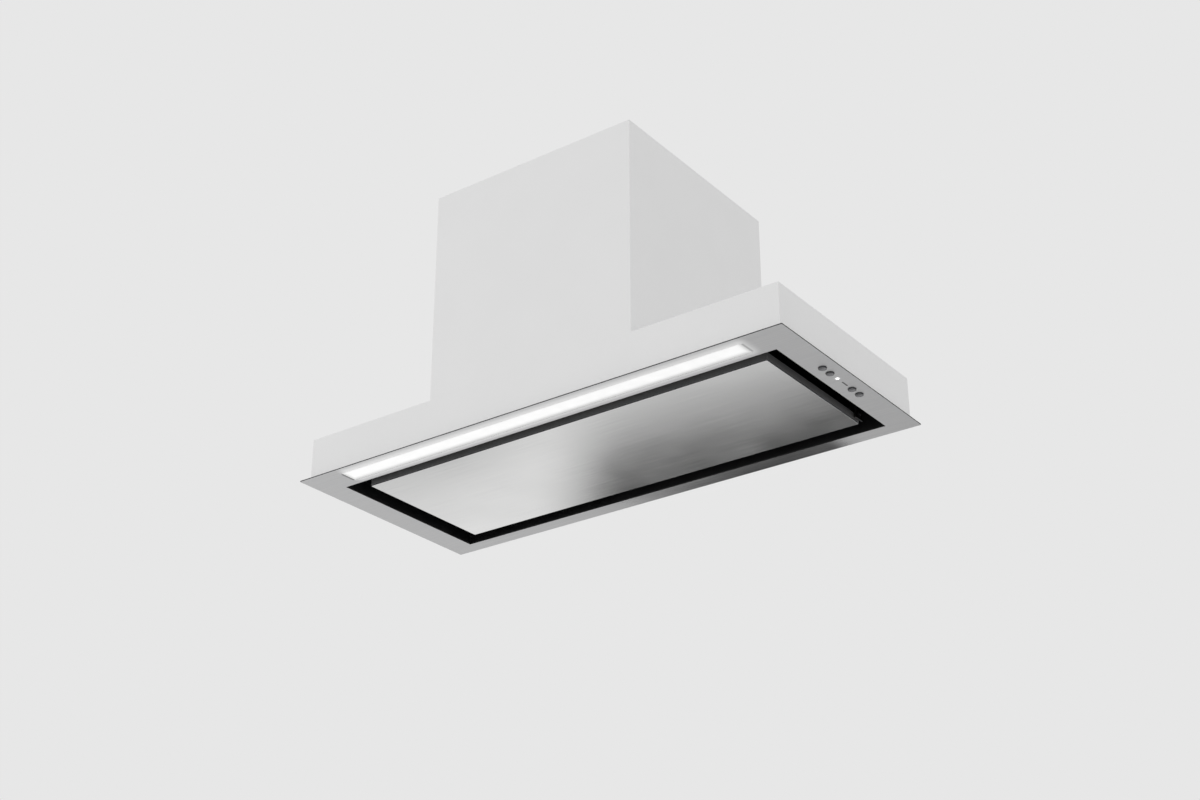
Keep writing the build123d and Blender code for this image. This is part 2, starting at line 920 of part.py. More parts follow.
def blower_wrap():
    """Curved wall of the scroll with the flange that hangs it from the top cover."""
    wrap = extrude(scroll_face(0), amount=blower_side, both=True)
    flange_z = (tower_wall_top - throat_flange_sheet, tower_wall_top)
    wrap += block(
        span(0, blower_width + 2 * throat_flange),
        (throat_front - throat_flange, scroll_back + throat_flange),
        flange_z,
    )
    wrap -= extrude(scroll_face(blower_sheet), amount=blower_side, both=True)
    for x, y in cover_screw_places():
        wrap -= upright(screw_hole_radius, x, y, grow(flange_z, cut_over))
    return wrap


def bracket_places():
    """Y and Z of the bracket's arm ends round the blower's axis."""
    angles = [radians(90 + i * 360 / bracket_arms) for i in range(bracket_arms)]
    return [
        (blower_y + bracket_screw_radius * cos(a), blower_z + bracket_screw_radius * sin(a))
        for a in angles
    ]


def blower_side_plate(side):
    """Flat side of the scroll with a round inlet and its inward ring."""
    low, high = sorted_ends(side, blower_side, blower_side + blower_sheet)
    plate = extrude(scroll_face(0), amount=blower_sheet * side)
    plate = Pos(side * blower_side, 0, 0) * plate
    plate -= block(
        grow((low, high), cut_over),
        (throat_front - cut_over, scroll_back + cut_over),
        (tower_wall_top - throat_flange_sheet, tower_top),
    )
    ring_x = sorted_ends(side, blower_side - inlet_ring_depth, blower_side + blower_sheet)
    plate += crosswise(inlet_radius + inlet_ring_sheet, ring_x, blower_y, blower_z)
    plate -= crosswise(inlet_radius, grow(ring_x, cut_over), blower_y, blower_z)
    if side > 0:
        for y, z in bracket_places():
            plate -= crosswise(screw_hole_radius, grow((low, high), cut_over), y, z)
    return plate


def impeller():
    """Double-width blade wheel: slanted blades joined by a ring at each end and one at mid-width."""
    half = impeller_width / 2
    middle_radius = (impeller_radius + impeller_inner_radius) / 2
    blade = Pos(0, middle_radius, 0) * Rot(blade_slant, 0, 0)
    blade *= Box(impeller_width, blade_chord * cos(radians(blade_slant)), blade_sheet)
    wheel = Part() + [Rot(i * 360 / blade_count, 0, 0) * blade for i in range(blade_count)]
    ends = [(-half, -half + impeller_ring), (half - impeller_ring, half)]
    for x in [*ends, span(0, impeller_disc)]:
        ring = crosswise(impeller_radius, x, 0, 0)
        wheel += ring - crosswise(impeller_inner_radius, x, 0, 0)
    return Pos(0, blower_y, blower_z) * wheel


def impeller_hub():
    """Disc that fills the blade wheel's middle ring, with the hub that grips the shaft."""
    hub = crosswise(impeller_inner_radius, span(0, impeller_disc), 0, 0)
    hub += crosswise(impeller_hub_radius, span(0, impeller_hub_length), 0, 0)
    hub -= crosswise(shaft_radius + shaft_play, span(0, impeller_hub_length + cut_over), 0, 0)
    return Pos(0, blower_y, blower_z) * hub


def motor_shaft():
    return crosswise(shaft_radius, (shaft_left_end, motor_end), blower_y, blower_z)


def motor_middle():
    return (motor_start + motor_end) / 2


def motor_rotor():
    x = span(motor_middle(), stator_length)
    core = crosswise(rotor_radius, x, blower_y, blower_z)
    return core - crosswise(shaft_radius + shaft_play, x, blower_y, blower_z)


def motor_stator():
    x = span(motor_middle(), stator_length)
    core = crosswise(motor_radius - motor_wall - stator_gap, x, blower_y, blower_z)
    return core - crosswise(stator_inner_radius, x, blower_y, blower_z)


def motor_housing():
    """Closed motor can with a bearing seat in each end shield."""
    x = (motor_start, motor_end)
    can = crosswise(motor_radius, x, blower_y, blower_z)
    can = fillet(can.edges(), motor_wall)
    can -= crosswise(motor_radius - motor_wall, grow(x, -motor_shield), blower_y, blower_z)
    return can - crosswise(bearing_radius + bearing_play, grow(x, cut_over), blower_y, blower_z)


def motor_bearing(x):
    ring = crosswise(bearing_radius, span(x, bearing_width), blower_y, blower_z)
    return ring - crosswise(shaft_radius + shaft_play, span(x, bearing_width), blower_y, blower_z)


def motor_bearings():
    return [motor_bearing(x) for x in (motor_start + motor_shield / 2, motor_end - motor_shield / 2)]


bracket_x = (
    blower_side + blower_sheet + bush_height,
    blower_side + blower_sheet + bush_height + bracket_sheet,
)


def motor_bracket():
    """Three-armed plate that holds the motor in front of the right-hand inlet."""
    plate = crosswise(bracket_hub_radius, bracket_x, 0, 0)
    for i in range(bracket_arms):
        turn = Rot(90 + i * 360 / bracket_arms, 0, 0)
        plate += turn * block(bracket_x, (0, bracket_screw_radius), span(0, bracket_arm_width))
        plate += turn * crosswise(bracket_foot_radius, bracket_x, bracket_screw_radius, 0)
    plate = Pos(0, blower_y, blower_z) * plate
    for y, z in bracket_places():
        plate -= crosswise(screw_hole_radius, grow(bracket_x, cut_over), y, z)
    return plate - crosswise(bracket_hole_radius, grow(bracket_x, cut_over), blower_y, blower_z)


def motor_bushes():
    x = (blower_side + blower_sheet, bracket_x[0])
    return [
        crosswise(bush_radius, x, y, z) - crosswise(screw_hole_radius, x, y, z)
        for y, z in bracket_places()
    ]


def bracket_screws():
    return [screw(bracket_x[1], y, z, (-1, 0, 0)) for y, z in bracket_places()]


# ---- capacitor and control box ----

def motor_capacitor():
    x = -(tower_inner_x - strap_sheet - strap_gap - capacitor_radius)
    can = upright(capacitor_radius, x, capacitor_y, (capacitor_z, capacitor_z + capacitor_height))
    return fillet(can.edges(), plate_corner_radius)


def capacitor_strap():
    """Sheet saddle round the capacitor with two feet on the left-hand wall."""
    x = -(tower_inner_x - strap_sheet - strap_gap - capacitor_radius)
    z = span(capacitor_z + capacitor_height / 2, strap_width)
    inner = capacitor_radius + strap_gap
    outer = inner + strap_sheet
    saddle = upright(outer, x, capacitor_y, z)
    saddle += block((-tower_inner_x, x), span(capacitor_y, 2 * outer), z)
    saddle += block(
        (-tower_inner_x, -tower_inner_x + strap_sheet), span(capacitor_y, 2 * (outer + strap_foot)), z
    )
    return saddle - upright(inner, x, capacitor_y, z)


electronics_x = (tower_inner_x - electronics_depth, tower_inner_x)
electronics_y = (electronics_front, electronics_front + electronics_length)
electronics_z = (electronics_bottom, electronics_bottom + electronics_height)


def control_box():
    """Plastic tray on the right-hand wall, open towards the blower."""
    tray = block((electronics_x[0] + electronics_lid, electronics_x[1]), electronics_y, electronics_z)
    tray -= block(
        (electronics_x[0], electronics_x[1] - electronics_wall),
        grow(electronics_y, -electronics_wall),
        grow(electronics_z, -electronics_wall),
    )
    inset = electronics_wall + electronics_post / 2
    floor = electronics_x[1] - electronics_wall
    post_x = (floor - electronics_post_height, floor)
    for y in grow(electronics_y, -inset):
        for z in grow(electronics_z, -inset):
            tray += block(post_x, span(y, electronics_post), span(z, electronics_post))
    return tray


def control_box_lid():
    return block((electronics_x[0], electronics_x[0] + electronics_lid), electronics_y, electronics_z)


def control_board():
    """Circuit board on the tray's posts with a terminal block and a transformer."""
    back = electronics_x[1] - electronics_wall - electronics_post_height
    front = back - circuit_sheet
    inner_y = grow(electronics_y, -electronics_wall - board_gap)
    inner_z = grow(electronics_z, -electronics_wall - board_gap)
    board = block((front, back), inner_y, inner_z)
    middle = sum(inner_y) / 2
    depth, length, height = terminal_size
    top = inner_z[1] - terminal_setback
    terminal = block((front - depth, front), span(middle, length), (top - height, top))
    depth, length, height = transformer_size
    low = inner_z[0] + transformer_rise
    transformer = block((front - depth, front), span(middle, length), (low, low + height))
    return [board, terminal, transformer]


# ---- duct collar and flaps ----

def duct_collar():
    """Spigot for the duct on a flange that is also the flaps' seat."""
    top = tower_top + duct_height
    inner = duct_radius - duct_sheet
    collar = upright(collar_flange_radius, 0, duct_y, (tower_top, seat_top))
    collar += upright(duct_radius, 0, duct_y, (tower_top, top))
    collar -= upright(inner, 0, duct_y, (seat_top, top + cut_over))
    collar -= upright(valve_seat_radius, 0, duct_y, (tower_top - cut_over, top))
    for side in (-1, 1):
        boss = sorted_ends(side, inner - pin_boss_depth, inner + duct_sheet / 2)
        boss = (duct_y + boss[0], duct_y + boss[1])
        hole = sorted_ends(side, 0, inner)
        hole = (duct_y + hole[0], duct_y + hole[1])
        collar += lengthwise(pin_boss_radius, 0, boss, flap_pin_z)
        collar -= lengthwise(flap_pin_radius + flap_pin_play, 0, hole, flap_pin_z)
    return collar


def flap_pin():
    length = 2 * (duct_radius - duct_sheet - pin_end_gap)
    return lengthwise(flap_pin_radius, 0, span(duct_y, length), flap_pin_z)


def duct_flap(side):
    """Half disc on two knuckles of the shared pin. The other flap's knuckles fit between."""
    z = (seat_top + flap_gap, seat_top + flap_gap + flap_sheet)
    disc = upright(flap_radius, 0, duct_y, z)
    flap = disc & block(sorted_ends(side, flap_root, duct_radius), span(duct_y, 2 * duct_radius), z)
    pitch = knuckle_length + knuckle_gap
    for place in flap_knuckle_places:
        y = span(duct_y - side * place * pitch, knuckle_length)
        flap += lengthwise(knuckle_radius, 0, y, flap_pin_z)
        flap += block(sorted_ends(side, 0, flap_root + cut_over), y, z)
        flap -= lengthwise(flap_pin_radius + flap_pin_play, 0, grow(y, cut_over), flap_pin_z)
    return flap


# ---- mains gland and internal leads ----

def cable_gland():
    """Screwed gland in the top cover with its nut below the cover."""
    top = tower_top + gland_head_height
    low = tower_top - gland_thread_length
    body = upright(gland_thread_radius, gland_x, gland_y, (low, tower_top))
    hexagon = Pos(gland_x, gland_y, tower_top) * extrude(
        RegularPolygon(gland_head_radius, 6), amount=gland_head_height
    )
    body += hexagon
    body -= upright(gland_bore_radius, gland_x, gland_y, (low - cut_over, top + cut_over))
    nut = Pos(gland_x, gland_y, tower_wall_top - gland_nut_height) * extrude(
        RegularPolygon(gland_head_radius, 6), amount=gland_nut_height
    )
    nut -= upright(gland_thread_radius, gland_x, gland_y, (low, tower_top))
    return [body, nut]


def lead(*points):
    """A round lead along straight runs joined by arcs."""
    path = FilletPolyline(*points, radius=lead_bend)
    start = Plane(origin=path @ 0, z_dir=path % 0)
    return sweep(start * Circle(lead_radius), path=path)


def wiring_loom():
    """Leads from the control box to the keypad, the light driver and the motor."""
    plenum = (liner_height + casing_height - casing_sheet) / 2
    drop_x = air_hole_width / 2 - 4 * lead_radius
    box_x = sum(electronics_x) / 2
    turn_z = electronics_bottom - lead_drop
    ends = ((0, keypad_height + circuit_sheet), (driver_front + driver_length / 2, driver_height))
    leads = []
    for (end_y, end_z), start, inset, layer in zip(ends, lead_starts, lead_insets, (-1, 1)):
        y = electronics_front + start
        z = plenum + layer * lead_layer
        end_x = keypad_left + inset
        corners = [(box_x, electronics_bottom), (box_x, turn_z), (drop_x, turn_z), (drop_x, z)]
        route = [(corner_x, y, corner_z) for corner_x, corner_z in corners]
        leads.append(lead(*route, (end_x, y, z), (end_x, end_y, z), (end_x, end_y, end_z)))
    high, low = [blower_z + height for height in motor_lead_heights]
    lid = electronics_x[0]
    turn = lid - motor_lead_run
    route = [(lid, high), (turn, high), (turn, low), (motor_end, low)]
    leads.append(lead(*[(x, blower_y, z) for x, z in route]))
    return leads


def build():
    os.makedirs("parts", exist_ok=True)
    save("face_plate", face_plate())
    for number, place in enumerate(button_places, 1):
        save(f"button_{number}", push_button(place))
    save("keypad_housing", keypad_housing())
    save("keypad_board", *keypad_board())
    save("indicator_lens", indicator_lens())
    save("light_diffuser", light_diffuser())
    save("light_channel", light_channel())
    save("light_board", light_board())
    save("light_chips", *light_chips())
    save("light_driver", light_driver())
    save("lower_casing", lower_casing())
    save("tower_wrap", tower_wrap())
    save("tower_rear_cover", tower_rear_cover())
    save("top_cover", top_cover())
    save("corner_posts", *[corner_post(sx, sy) for sx, sy in post_corners()])
    save("screws", *casing_screws(), *bracket_screws())
    save("intake_liner", intake_liner())
    save("filter_rail", filter_rail())
    for side, x in zip(("left", "right"), filter_centres()):
        save(f"filter_frame_{side}", filter_frame(x))
        save(f"filter_mesh_{side}", filter_mesh(x))
        save(f"filter_latch_{side}", filter_latch(x))
    save("latch_covers", *[latch_cover(x) for x in filter_centres()])
    save("latch_keepers", *[latch_keeper(x) for x in filter_centres()])
    save("panel_skin", panel_skin())
    save("panel_back", panel_back())
    save("panel_stiffeners", *[panel_stiffener(i * stiffener_pitch) for i in (-1, 0, 1)])
    save("hinge_pins", hinge_pin(-1), hinge_pin(1))
    save("hinge_clips", hinge_clip(-1), hinge_clip(1))
    save("hinge_brackets", hinge_bracket(-1), hinge_bracket(1))
    save("catch_holders", catch_holder(-1), catch_holder(1))
    save("catch_magnets", catch_magnet(-1), catch_magnet(1))
    save("blower_wrap", blower_wrap())
    save("blower_side_left", blower_side_plate(-1))
    save("blower_side_right", blower_side_plate(1))
    save("impeller", impeller())
    save("impeller_hub", impeller_hub())
    save("motor_shaft", motor_shaft())
    save("motor_rotor", motor_rotor())
    save("motor_stator", motor_stator())
    save("motor_housing", motor_housing())
    save("motor_bearings", *motor_bearings())
    save("motor_bracket", motor_bracket())
    save("motor_bushes", *motor_bushes())
    save("motor_capacitor", motor_capacitor())
    save("capacitor_strap", capacitor_strap())
    save("control_box", control_box())
    save("control_box_lid", control_box_lid())
    save("control_board", *control_board())
    save("duct_collar", duct_collar())
    save("duct_flap_left", duct_flap(-1))
    save("duct_flap_right", duct_flap(1))
    save("flap_pin", flap_pin())
    save("cable_gland", *cable_gland())
    save("wiring_loom", *wiring_loom())


build()
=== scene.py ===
import json
import math

import bmesh
import bpy
import numpy as np
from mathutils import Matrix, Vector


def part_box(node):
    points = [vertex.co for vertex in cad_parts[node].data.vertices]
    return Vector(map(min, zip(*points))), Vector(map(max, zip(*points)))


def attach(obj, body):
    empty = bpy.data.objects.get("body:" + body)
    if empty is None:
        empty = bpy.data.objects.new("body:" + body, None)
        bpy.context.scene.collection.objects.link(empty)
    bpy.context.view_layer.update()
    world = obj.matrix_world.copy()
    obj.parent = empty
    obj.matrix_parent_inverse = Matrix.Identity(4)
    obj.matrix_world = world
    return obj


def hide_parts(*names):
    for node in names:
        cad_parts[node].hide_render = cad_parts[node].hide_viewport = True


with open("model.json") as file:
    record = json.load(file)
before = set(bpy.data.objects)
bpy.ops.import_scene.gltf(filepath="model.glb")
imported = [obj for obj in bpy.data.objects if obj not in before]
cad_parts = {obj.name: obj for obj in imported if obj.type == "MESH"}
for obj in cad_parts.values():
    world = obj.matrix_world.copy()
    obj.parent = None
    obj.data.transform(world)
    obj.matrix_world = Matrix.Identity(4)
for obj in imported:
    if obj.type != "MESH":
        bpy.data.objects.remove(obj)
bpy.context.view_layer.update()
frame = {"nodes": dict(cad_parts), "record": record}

nodes = frame["nodes"]
mm = 0.001  # lengths in the dictionaries are in millimetres where no note says metres
print("frame loaded:", len(nodes), "nodes")

# how pieces are joined up and shaded, in millimetres and degrees
meshCare = {
    "seam": 0.002,  # points of a new surface that lie nearer than this are one
    "weld": 0.01,  # the same for the triangles of a node
    "flat": 0.6,  # neighbours that turn less than this are one face
    "edge": 30.0,  # edges that turn more than this are broken
    "segments": 2,  # faces across a broken edge
    "smooth": 35.0,  # edges that turn more than this stay sharp in the shading
}
# a noise stays near its middle, so this much of it is drawn out: the narrower, the more contrast
noiseSpan = {"From Min": 0.3, "From Max": 0.7}
wideSpan = {"From Min": 0.25, "From Max": 0.75}
cloudSpan = {"From Min": 0.35, "From Max": 0.65}


def linear(hexCode):
    # an sRGB channel c becomes ((c + 0.055) / 1.055) to the power 2.4, or c / 12.92 close to black
    channels = [int(hexCode[i:i + 2], 16) / 255 for i in (1, 3, 5)]
    curve = [c / 12.92 if c <= 0.04045 else ((c + 0.055) / 1.055) ** 2.4 for c in channels]
    return (*curve, 1.0)


def perMetre(size):
    # a pattern whose cells are size millimetres wide repeats this many times in a metre
    return 1 / (size * mm)


def addNode(tree, kind, values=None, links=None, **settings):
    # a link names the node that it comes from, alone for its first output or with an output
    made = tree.nodes.new("ShaderNode" + kind)
    for key, value in settings.items():
        setattr(made, key, value)
    for key, value in (values or {}).items():
        made.inputs[key].default_value = value
    for key, source in (links or {}).items():
        node, output = source if isinstance(source, tuple) else (source, 0)
        tree.links.new(node.outputs[output], made.inputs[key])
    return made


def startMaterial(name):
    # an empty material, with the node that tells where on the piece a point lies
    material = bpy.data.materials.new(name)
    material.use_nodes = True
    material.node_tree.nodes.clear()
    return material, material.node_tree, addNode(material.node_tree, "TexCoord")


def endMaterial(tree, constants, patterns):
    # what is the same all over stands on the shader's own sockets, and the patterns are linked
    shader = addNode(tree, "BsdfPrincipled", constants, patterns)
    addNode(tree, "OutputMaterial", links={"Surface": shader})


def finishPiece(mesh, name, body, material, replaced=(), bevel=0.0):
    # links the piece, shades it smooth below an angle, breaks its edges and rides it on its body
    mesh.materials.append(material)
    mesh.polygons.foreach_set("use_smooth", np.ones(len(mesh.polygons), bool))
    mesh.set_sharp_from_angle(angle=math.radians(meshCare["smooth"]))
    piece = bpy.data.objects.new(name, mesh)
    bpy.context.scene.collection.objects.link(piece)
    if bevel:
        rounding = piece.modifiers.new("roundedEdges", "BEVEL")
        rounding.width = bevel * mm
        rounding.segments = meshCare["segments"]
        rounding.limit_method = "ANGLE"
        rounding.angle_limit = math.radians(meshCare["edge"])
        even = piece.modifiers.new("evenNormals", "WEIGHTED_NORMAL")  # keeps the flats flat beside bends
        even.keep_sharp = True
    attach(piece, body)
    if replaced:
        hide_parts(*replaced)


def closedMesh(name, points, faces, uv=None):
    # doubles are merged first, then the normals of the closed surface are turned outwards
    mesh = bpy.data.meshes.new(name)
    mesh.from_pydata(points.reshape(-1, 3).tolist(), [], faces.tolist())
    if uv is not None:
        layer = mesh.uv_layers.new(name="surface")
        layer.data.foreach_set("uv", uv.reshape(-1, 2)[faces.ravel()].astype(np.float32).ravel())
    work = bmesh.new()
    work.from_mesh(mesh)
    bmesh.ops.remove_doubles(work, verts=work.verts, dist=meshCare["seam"] * mm)
    bmesh.ops.recalc_face_normals(work, faces=work.faces)
    work.to_mesh(mesh)
    work.free()
    return mesh


def gridFaces(rows, columns, wrapRows=False, wrapColumns=False):
    # one quad between each pair of neighbouring rows and columns of a grid of points
    i = np.arange(rows if wrapRows else rows - 1)[:, None]
    j = np.arange(columns if wrapColumns else columns - 1)[None, :]
    a = i * columns + j
    b = i * columns + (j + 1) % columns
    c = ((i + 1) % rows) * columns + (j + 1) % columns
    d = ((i + 1) % rows) * columns + j
    return np.stack([a, b, c, d], axis=-1).reshape(-1, 4)


def turned(profile, centre, steps=64):
    # a profile of radius and height turned about z: x and y are radius times cosine and sine of the angle
    profile = np.array(profile, float) * mm
    angle = np.linspace(0, 2 * math.pi, steps + 1)[:, None]
    radius, height = profile[:, 0][None, :], profile[:, 1][None, :]
    flat = [radius * np.cos(angle), radius * np.sin(angle), height + 0 * angle]
    points = np.stack(flat, axis=-1) + np.array(centre)
    along = np.concatenate([[0], np.cumsum(np.hypot(*np.diff(profile, axis=0).T))])
    uv = np.stack([angle + 0 * radius, along[None, :] + 0 * angle], axis=-1)
    return points, gridFaces(steps + 1, len(profile)), uv


def weldedMesh(nodeName, pieceName):
    # the node's triangles with doubles merged and flat neighbours joined, so a bevel finds the real edges
    work = bmesh.new()
    work.from_mesh(nodes[nodeName].data)
    bmesh.ops.remove_doubles(work, verts=work.verts, dist=meshCare["weld"] * mm)
    flat = math.radians(meshCare["flat"])
    bmesh.ops.dissolve_limit(work, angle_limit=flat, verts=work.verts, edges=work.edges)
    work.verts.index_update()
    corners = [tuple(v.co) for v in work.verts]
    faces = [[v.index for v in face.verts] for face in work.faces]
    work.free()
    mesh = bpy.data.meshes.new(pieceName)
    mesh.from_pydata(corners, [], faces)
    return mesh


# A colour Mix node takes its share at socket 0 and its two colours at 6 and 7, and gives output 2.
# A number Mix node takes its numbers at 2 and 3, and a vector one at 4 and 5 and gives output 1.

# stainless sheet, grade 304, satin brushed along its width: long fine lines that soften what it mirrors
plateSteel = {
    "light": "#d2d2d2",
    "dark": "#c6c6c7",
    "bend": "#1f1f21",  # bends and cut edges, painted dark as shade
    "rim": "#3c3c3e",  # faces that stand upright: partly the darker cut edge, partly painted shade of the gap beside them
    "rimRoughness": 0.5,
    "paintedShadeFrom": 500.0,  # height above which a rim is painted near black as the shade of the recess behind it, here above the whole plate
    # painted shade: the near-black tone above that height
    "back": "#0b0b0c",
    "lineWidth": 0.8,  # real brush lines are near 0.1 mm, drawn coarser so that they show
    "lineLength": 140.0,
    "cloudSize": 160.0,
    "roughness": (0.44, 0.50),
    "handled": 0.02,
    "bump": 0.20,
    "lineDepth": 0.02,
    # how far a face looks up or down, as the height of its normal: facing down, flat and bent
    "faceDown": (0.0, -0.5),
    "faceFlat": (0.94, 0.995),
    "faceBent": (0.05, 0.30),
}
# the same steel with a fine brush, nearly a mirror, on the panel; its bends and rims take painted shade
# tones, and its rim is painted near black above 13.5 mm as the shade of the recess behind
panelSteel = dict(
    plateSteel, light="#e9e9e8", dark="#e1e1e1", bend="#48484a", rim="#bababb", rimRoughness=0.6,
    paintedShadeFrom=13.5, roughness=(0.10, 0.13), bump=0.05,
)
# the strip behind the panel has a finer brush, which comes in slowly from the left
rearStrip = {
    "roughness": (0.11, 0.14),
    "left": (-320.0, 130.0),
    "right": (345.0, 285.0),
    "front": (155.0, 160.0),
}
# painted light on the steel beside the lamps and round the indicator, and painted shade at the dark gaps
# at the ends of the slot: reach, strength, tone
platePaintedLightAndShade = {
    "lamp": (20.0, 1.0, "#ffffff"),
    "leftGapPaintedShade": (3.0, 0.9, "#6e6e70"),
    "rightGapPaintedShade": (3.0, 0.45, "#6e6e70"),
    "lens": (6.5, 1.0, "#ffffff"),
    # how far the painted glow of the lamps and the painted shade of the gaps stay inside the diffuser's
    # edges
    "lampLeft": 15.0,
    "lampRight": 5.0,
    "lampRear": 6.0,
    "gapInset": 4.0,
}


def nearBox(tree, place, low, high, reach, share):
    # the distance to a box seen from below, and a share that falls smoothly to nothing at the reach
    low, high = np.array(low), np.array(high)
    tall = np.array((0, 0, 1.0))  # a metre, so that only the distance to the side counts
    half = (high - low) / 2 + tall
    offset = addNode(
        tree, "VectorMath", {1: (low + high) / 2}, {0: (place, "Object")}, operation="SUBTRACT"
    )
    size = addNode(tree, "VectorMath", links={0: offset}, operation="ABSOLUTE")
    past = addNode(tree, "VectorMath", {1: half}, {0: size}, operation="SUBTRACT")
    outside = addNode(tree, "VectorMath", {1: (0, 0, 0)}, {0: past}, operation="MAXIMUM")
    away = addNode(tree, "VectorMath", links={0: outside}, operation="LENGTH")
    return addNode(
        tree, "MapRange", {"From Max": reach * mm, "To Min": share, "To Max": 0},
        {"Value": (away, "Value")}, interpolation_type="SMOOTHSTEP",
    )


def riseProduct(tree, look, rises, unit=1.0):
    # each value rises smoothly from nothing to one between its two limits, and they are multiplied
    product = None
    for source, key in rises:
        rise = addNode(
            tree, "MapRange", {"From Min": look[key][0] * unit, "From Max": look[key][1] * unit},
            {"Value": source}, interpolation_type="SMOOTHSTEP",
        )
        product = addNode(
            tree, "Math", links={0: product, 1: rise}, operation="MULTIPLY"
        ) if product else rise
    return product


def withPaintedLightAndShade(tree, look, place, facing, colour, paintedGlowAndShade):
    # each spot of painted light and shade is mixed into the colour by its share beside a box, on faces
    # that look down
    low, high = look["faceDown"]
    below = addNode(
        tree, "MapRange", {"From Min": low, "From Max": high}, {"Value": (facing, "Z")}
    )
    for low, high, (reach, strength, tone) in paintedGlowAndShade:
        share = nearBox(tree, place, low, high, reach, strength)
        shown = addNode(tree, "Math", links={0: share, 1: below}, operation="MULTIPLY")
        colour = addNode(
            tree, "Mix", {7: linear(tone)}, {0: shown, 6: (colour, 2)}, data_type="RGBA"
        )
    return colour


def brushRoughness(tree, look, place, spot, lines, strip):
    # the lines move the roughness between two levels, the strip has two of its own, and wide clouds
    # where it was handled are added
    low, high = look["roughness"]
    brushed = addNode(
        tree, "MapRange", {**wideSpan, "To Min": low, "To Max": high}, {"Value": lines}
    )
    if strip:
        low, high = strip["roughness"]
        finer = addNode(
            tree, "MapRange", {**wideSpan, "To Min": low, "To Max": high}, {"Value": lines}
        )
        rises = [((spot, "X"), "left"), ((spot, "X"), "right"), ((spot, "Y"), "front")]
        share = riseProduct(tree, strip, rises, mm)
        brushed = addNode(tree, "Mix", links={0: share, 2: brushed, 3: finer}, data_type="FLOAT")
    clouds = addNode(
        tree, "TexNoise", {"Scale": perMetre(look["cloudSize"]), "Detail": 2.0},
        {"Vector": (place, "Object")},
    )
    handled = addNode(
        tree, "MapRange", {**cloudSpan, "To Min": -look["handled"], "To Max": look["handled"]},
        {"Value": clouds},
    )
    return addNode(tree, "Math", links={0: brushed, 1: handled}, operation="ADD")


def foldToneAndPaintedShade(tree, look, spot, facing):
    # the share of a face that isn't flat, and its tone, which is painted shade: dull where it is upright
    # (partly the darker cut edge), dark where it is bent, and nearly black above a height as the shade of
    # a recess behind
    upright = addNode(tree, "Math", links={0: (facing, "Z")}, operation="ABSOLUTE")
    low, high = look["faceFlat"]
    edge = addNode(
        tree, "MapRange", {"From Min": low, "From Max": high, "To Min": 1, "To Max": 0},
        {"Value": upright}, interpolation_type="SMOOTHSTEP",
    )
    low, high = look["faceBent"]
    bent = addNode(
        tree, "MapRange", {"From Min": low, "From Max": high}, {"Value": upright},
        interpolation_type="SMOOTHSTEP",
    )
    side = addNode(
        tree, "Mix", {6: linear(look["rim"]), 7: linear(look["bend"])}, {0: bent}, data_type="RGBA"
    )
    behind = addNode(
        tree, "Math", {1: look["paintedShadeFrom"] * mm}, {0: (spot, "Z")}, operation="GREATER_THAN"
    )
    side = addNode(
        tree, "Mix", {7: linear(look["back"])}, {0: behind, 6: (side, 2)}, data_type="RGBA"
    )
    return edge, side


def brushedSteel(name, look, paintedGlowAndShade=(), strip=None):
    # noise drawn out along the width gives the brush lines, which set the tone, the roughness and
    # the bump
    material, tree, place = startMaterial(name)
    stretch = [perMetre(look[size]) for size in ("lineLength", "lineWidth", "lineWidth")]
    drawn = addNode(tree, "Mapping", {"Scale": stretch}, {"Vector": (place, "Object")})
    lines = addNode(tree, "TexNoise", {"Scale": 1.0, "Detail": 3.0}, {"Vector": drawn})
    colourLevel = addNode(
        tree, "MapRange", noiseSpan, {"Value": lines}, interpolation_type="SMOOTHSTEP"
    )
    colour = addNode(
        tree, "Mix", {6: linear(look["dark"]), 7: linear(look["light"])}, {0: colourLevel},
        data_type="RGBA",
    )
    spot = addNode(tree, "SeparateXYZ", links={0: (place, "Object")})
    facing = addNode(tree, "SeparateXYZ", links={0: (place, "Normal")})
    # painted light and shade beside the slot and the indicator
    colour = withPaintedLightAndShade(tree, look, place, facing, colour, paintedGlowAndShade)
    flat = brushRoughness(tree, look, place, spot, lines, strip)
    edge, side = foldToneAndPaintedShade(tree, look, spot, facing)
    # upright and bent faces take their painted shade tones
    cut = addNode(tree, "Mix", links={0: edge, 6: (colour, 2), 7: (side, 2)}, data_type="RGBA")
    rough = addNode(tree, "Mix", {3: look["rimRoughness"]}, {0: edge, 2: flat}, data_type="FLOAT")
    depth = look["lineDepth"] * mm
    bump = addNode(
        tree, "Bump", {"Strength": look["bump"], "Distance": depth}, {"Height": lines}
    )
    endMaterial(
        tree, {"Metallic": 1.0}, {"Base Color": (cut, 2), "Roughness": rough, "Normal": bump}
    )
    return material


# stainless cap turned on a lathe: fine rings catch the light; its tones are painted darker than the
# plate's steel as shade of what the dish mirrors, and the rim is painted dark as its shadow
turnedSteelLook = {
    "light": "#8b8b8d",
    "dark": "#767678",
    # painted shadow round the rim of the cap
    "rim": "#4c4c4e",
    "rimFrom": (4.7, 5.4),  # along the profile from the middle of the cap
    "feed": 0.35,  # how far the lathe's tool moves in a turn
    "grain": 1.5,
    "roughness": 0.34,
    "bump": 0.6,
    "ringDepth": 0.03,
}


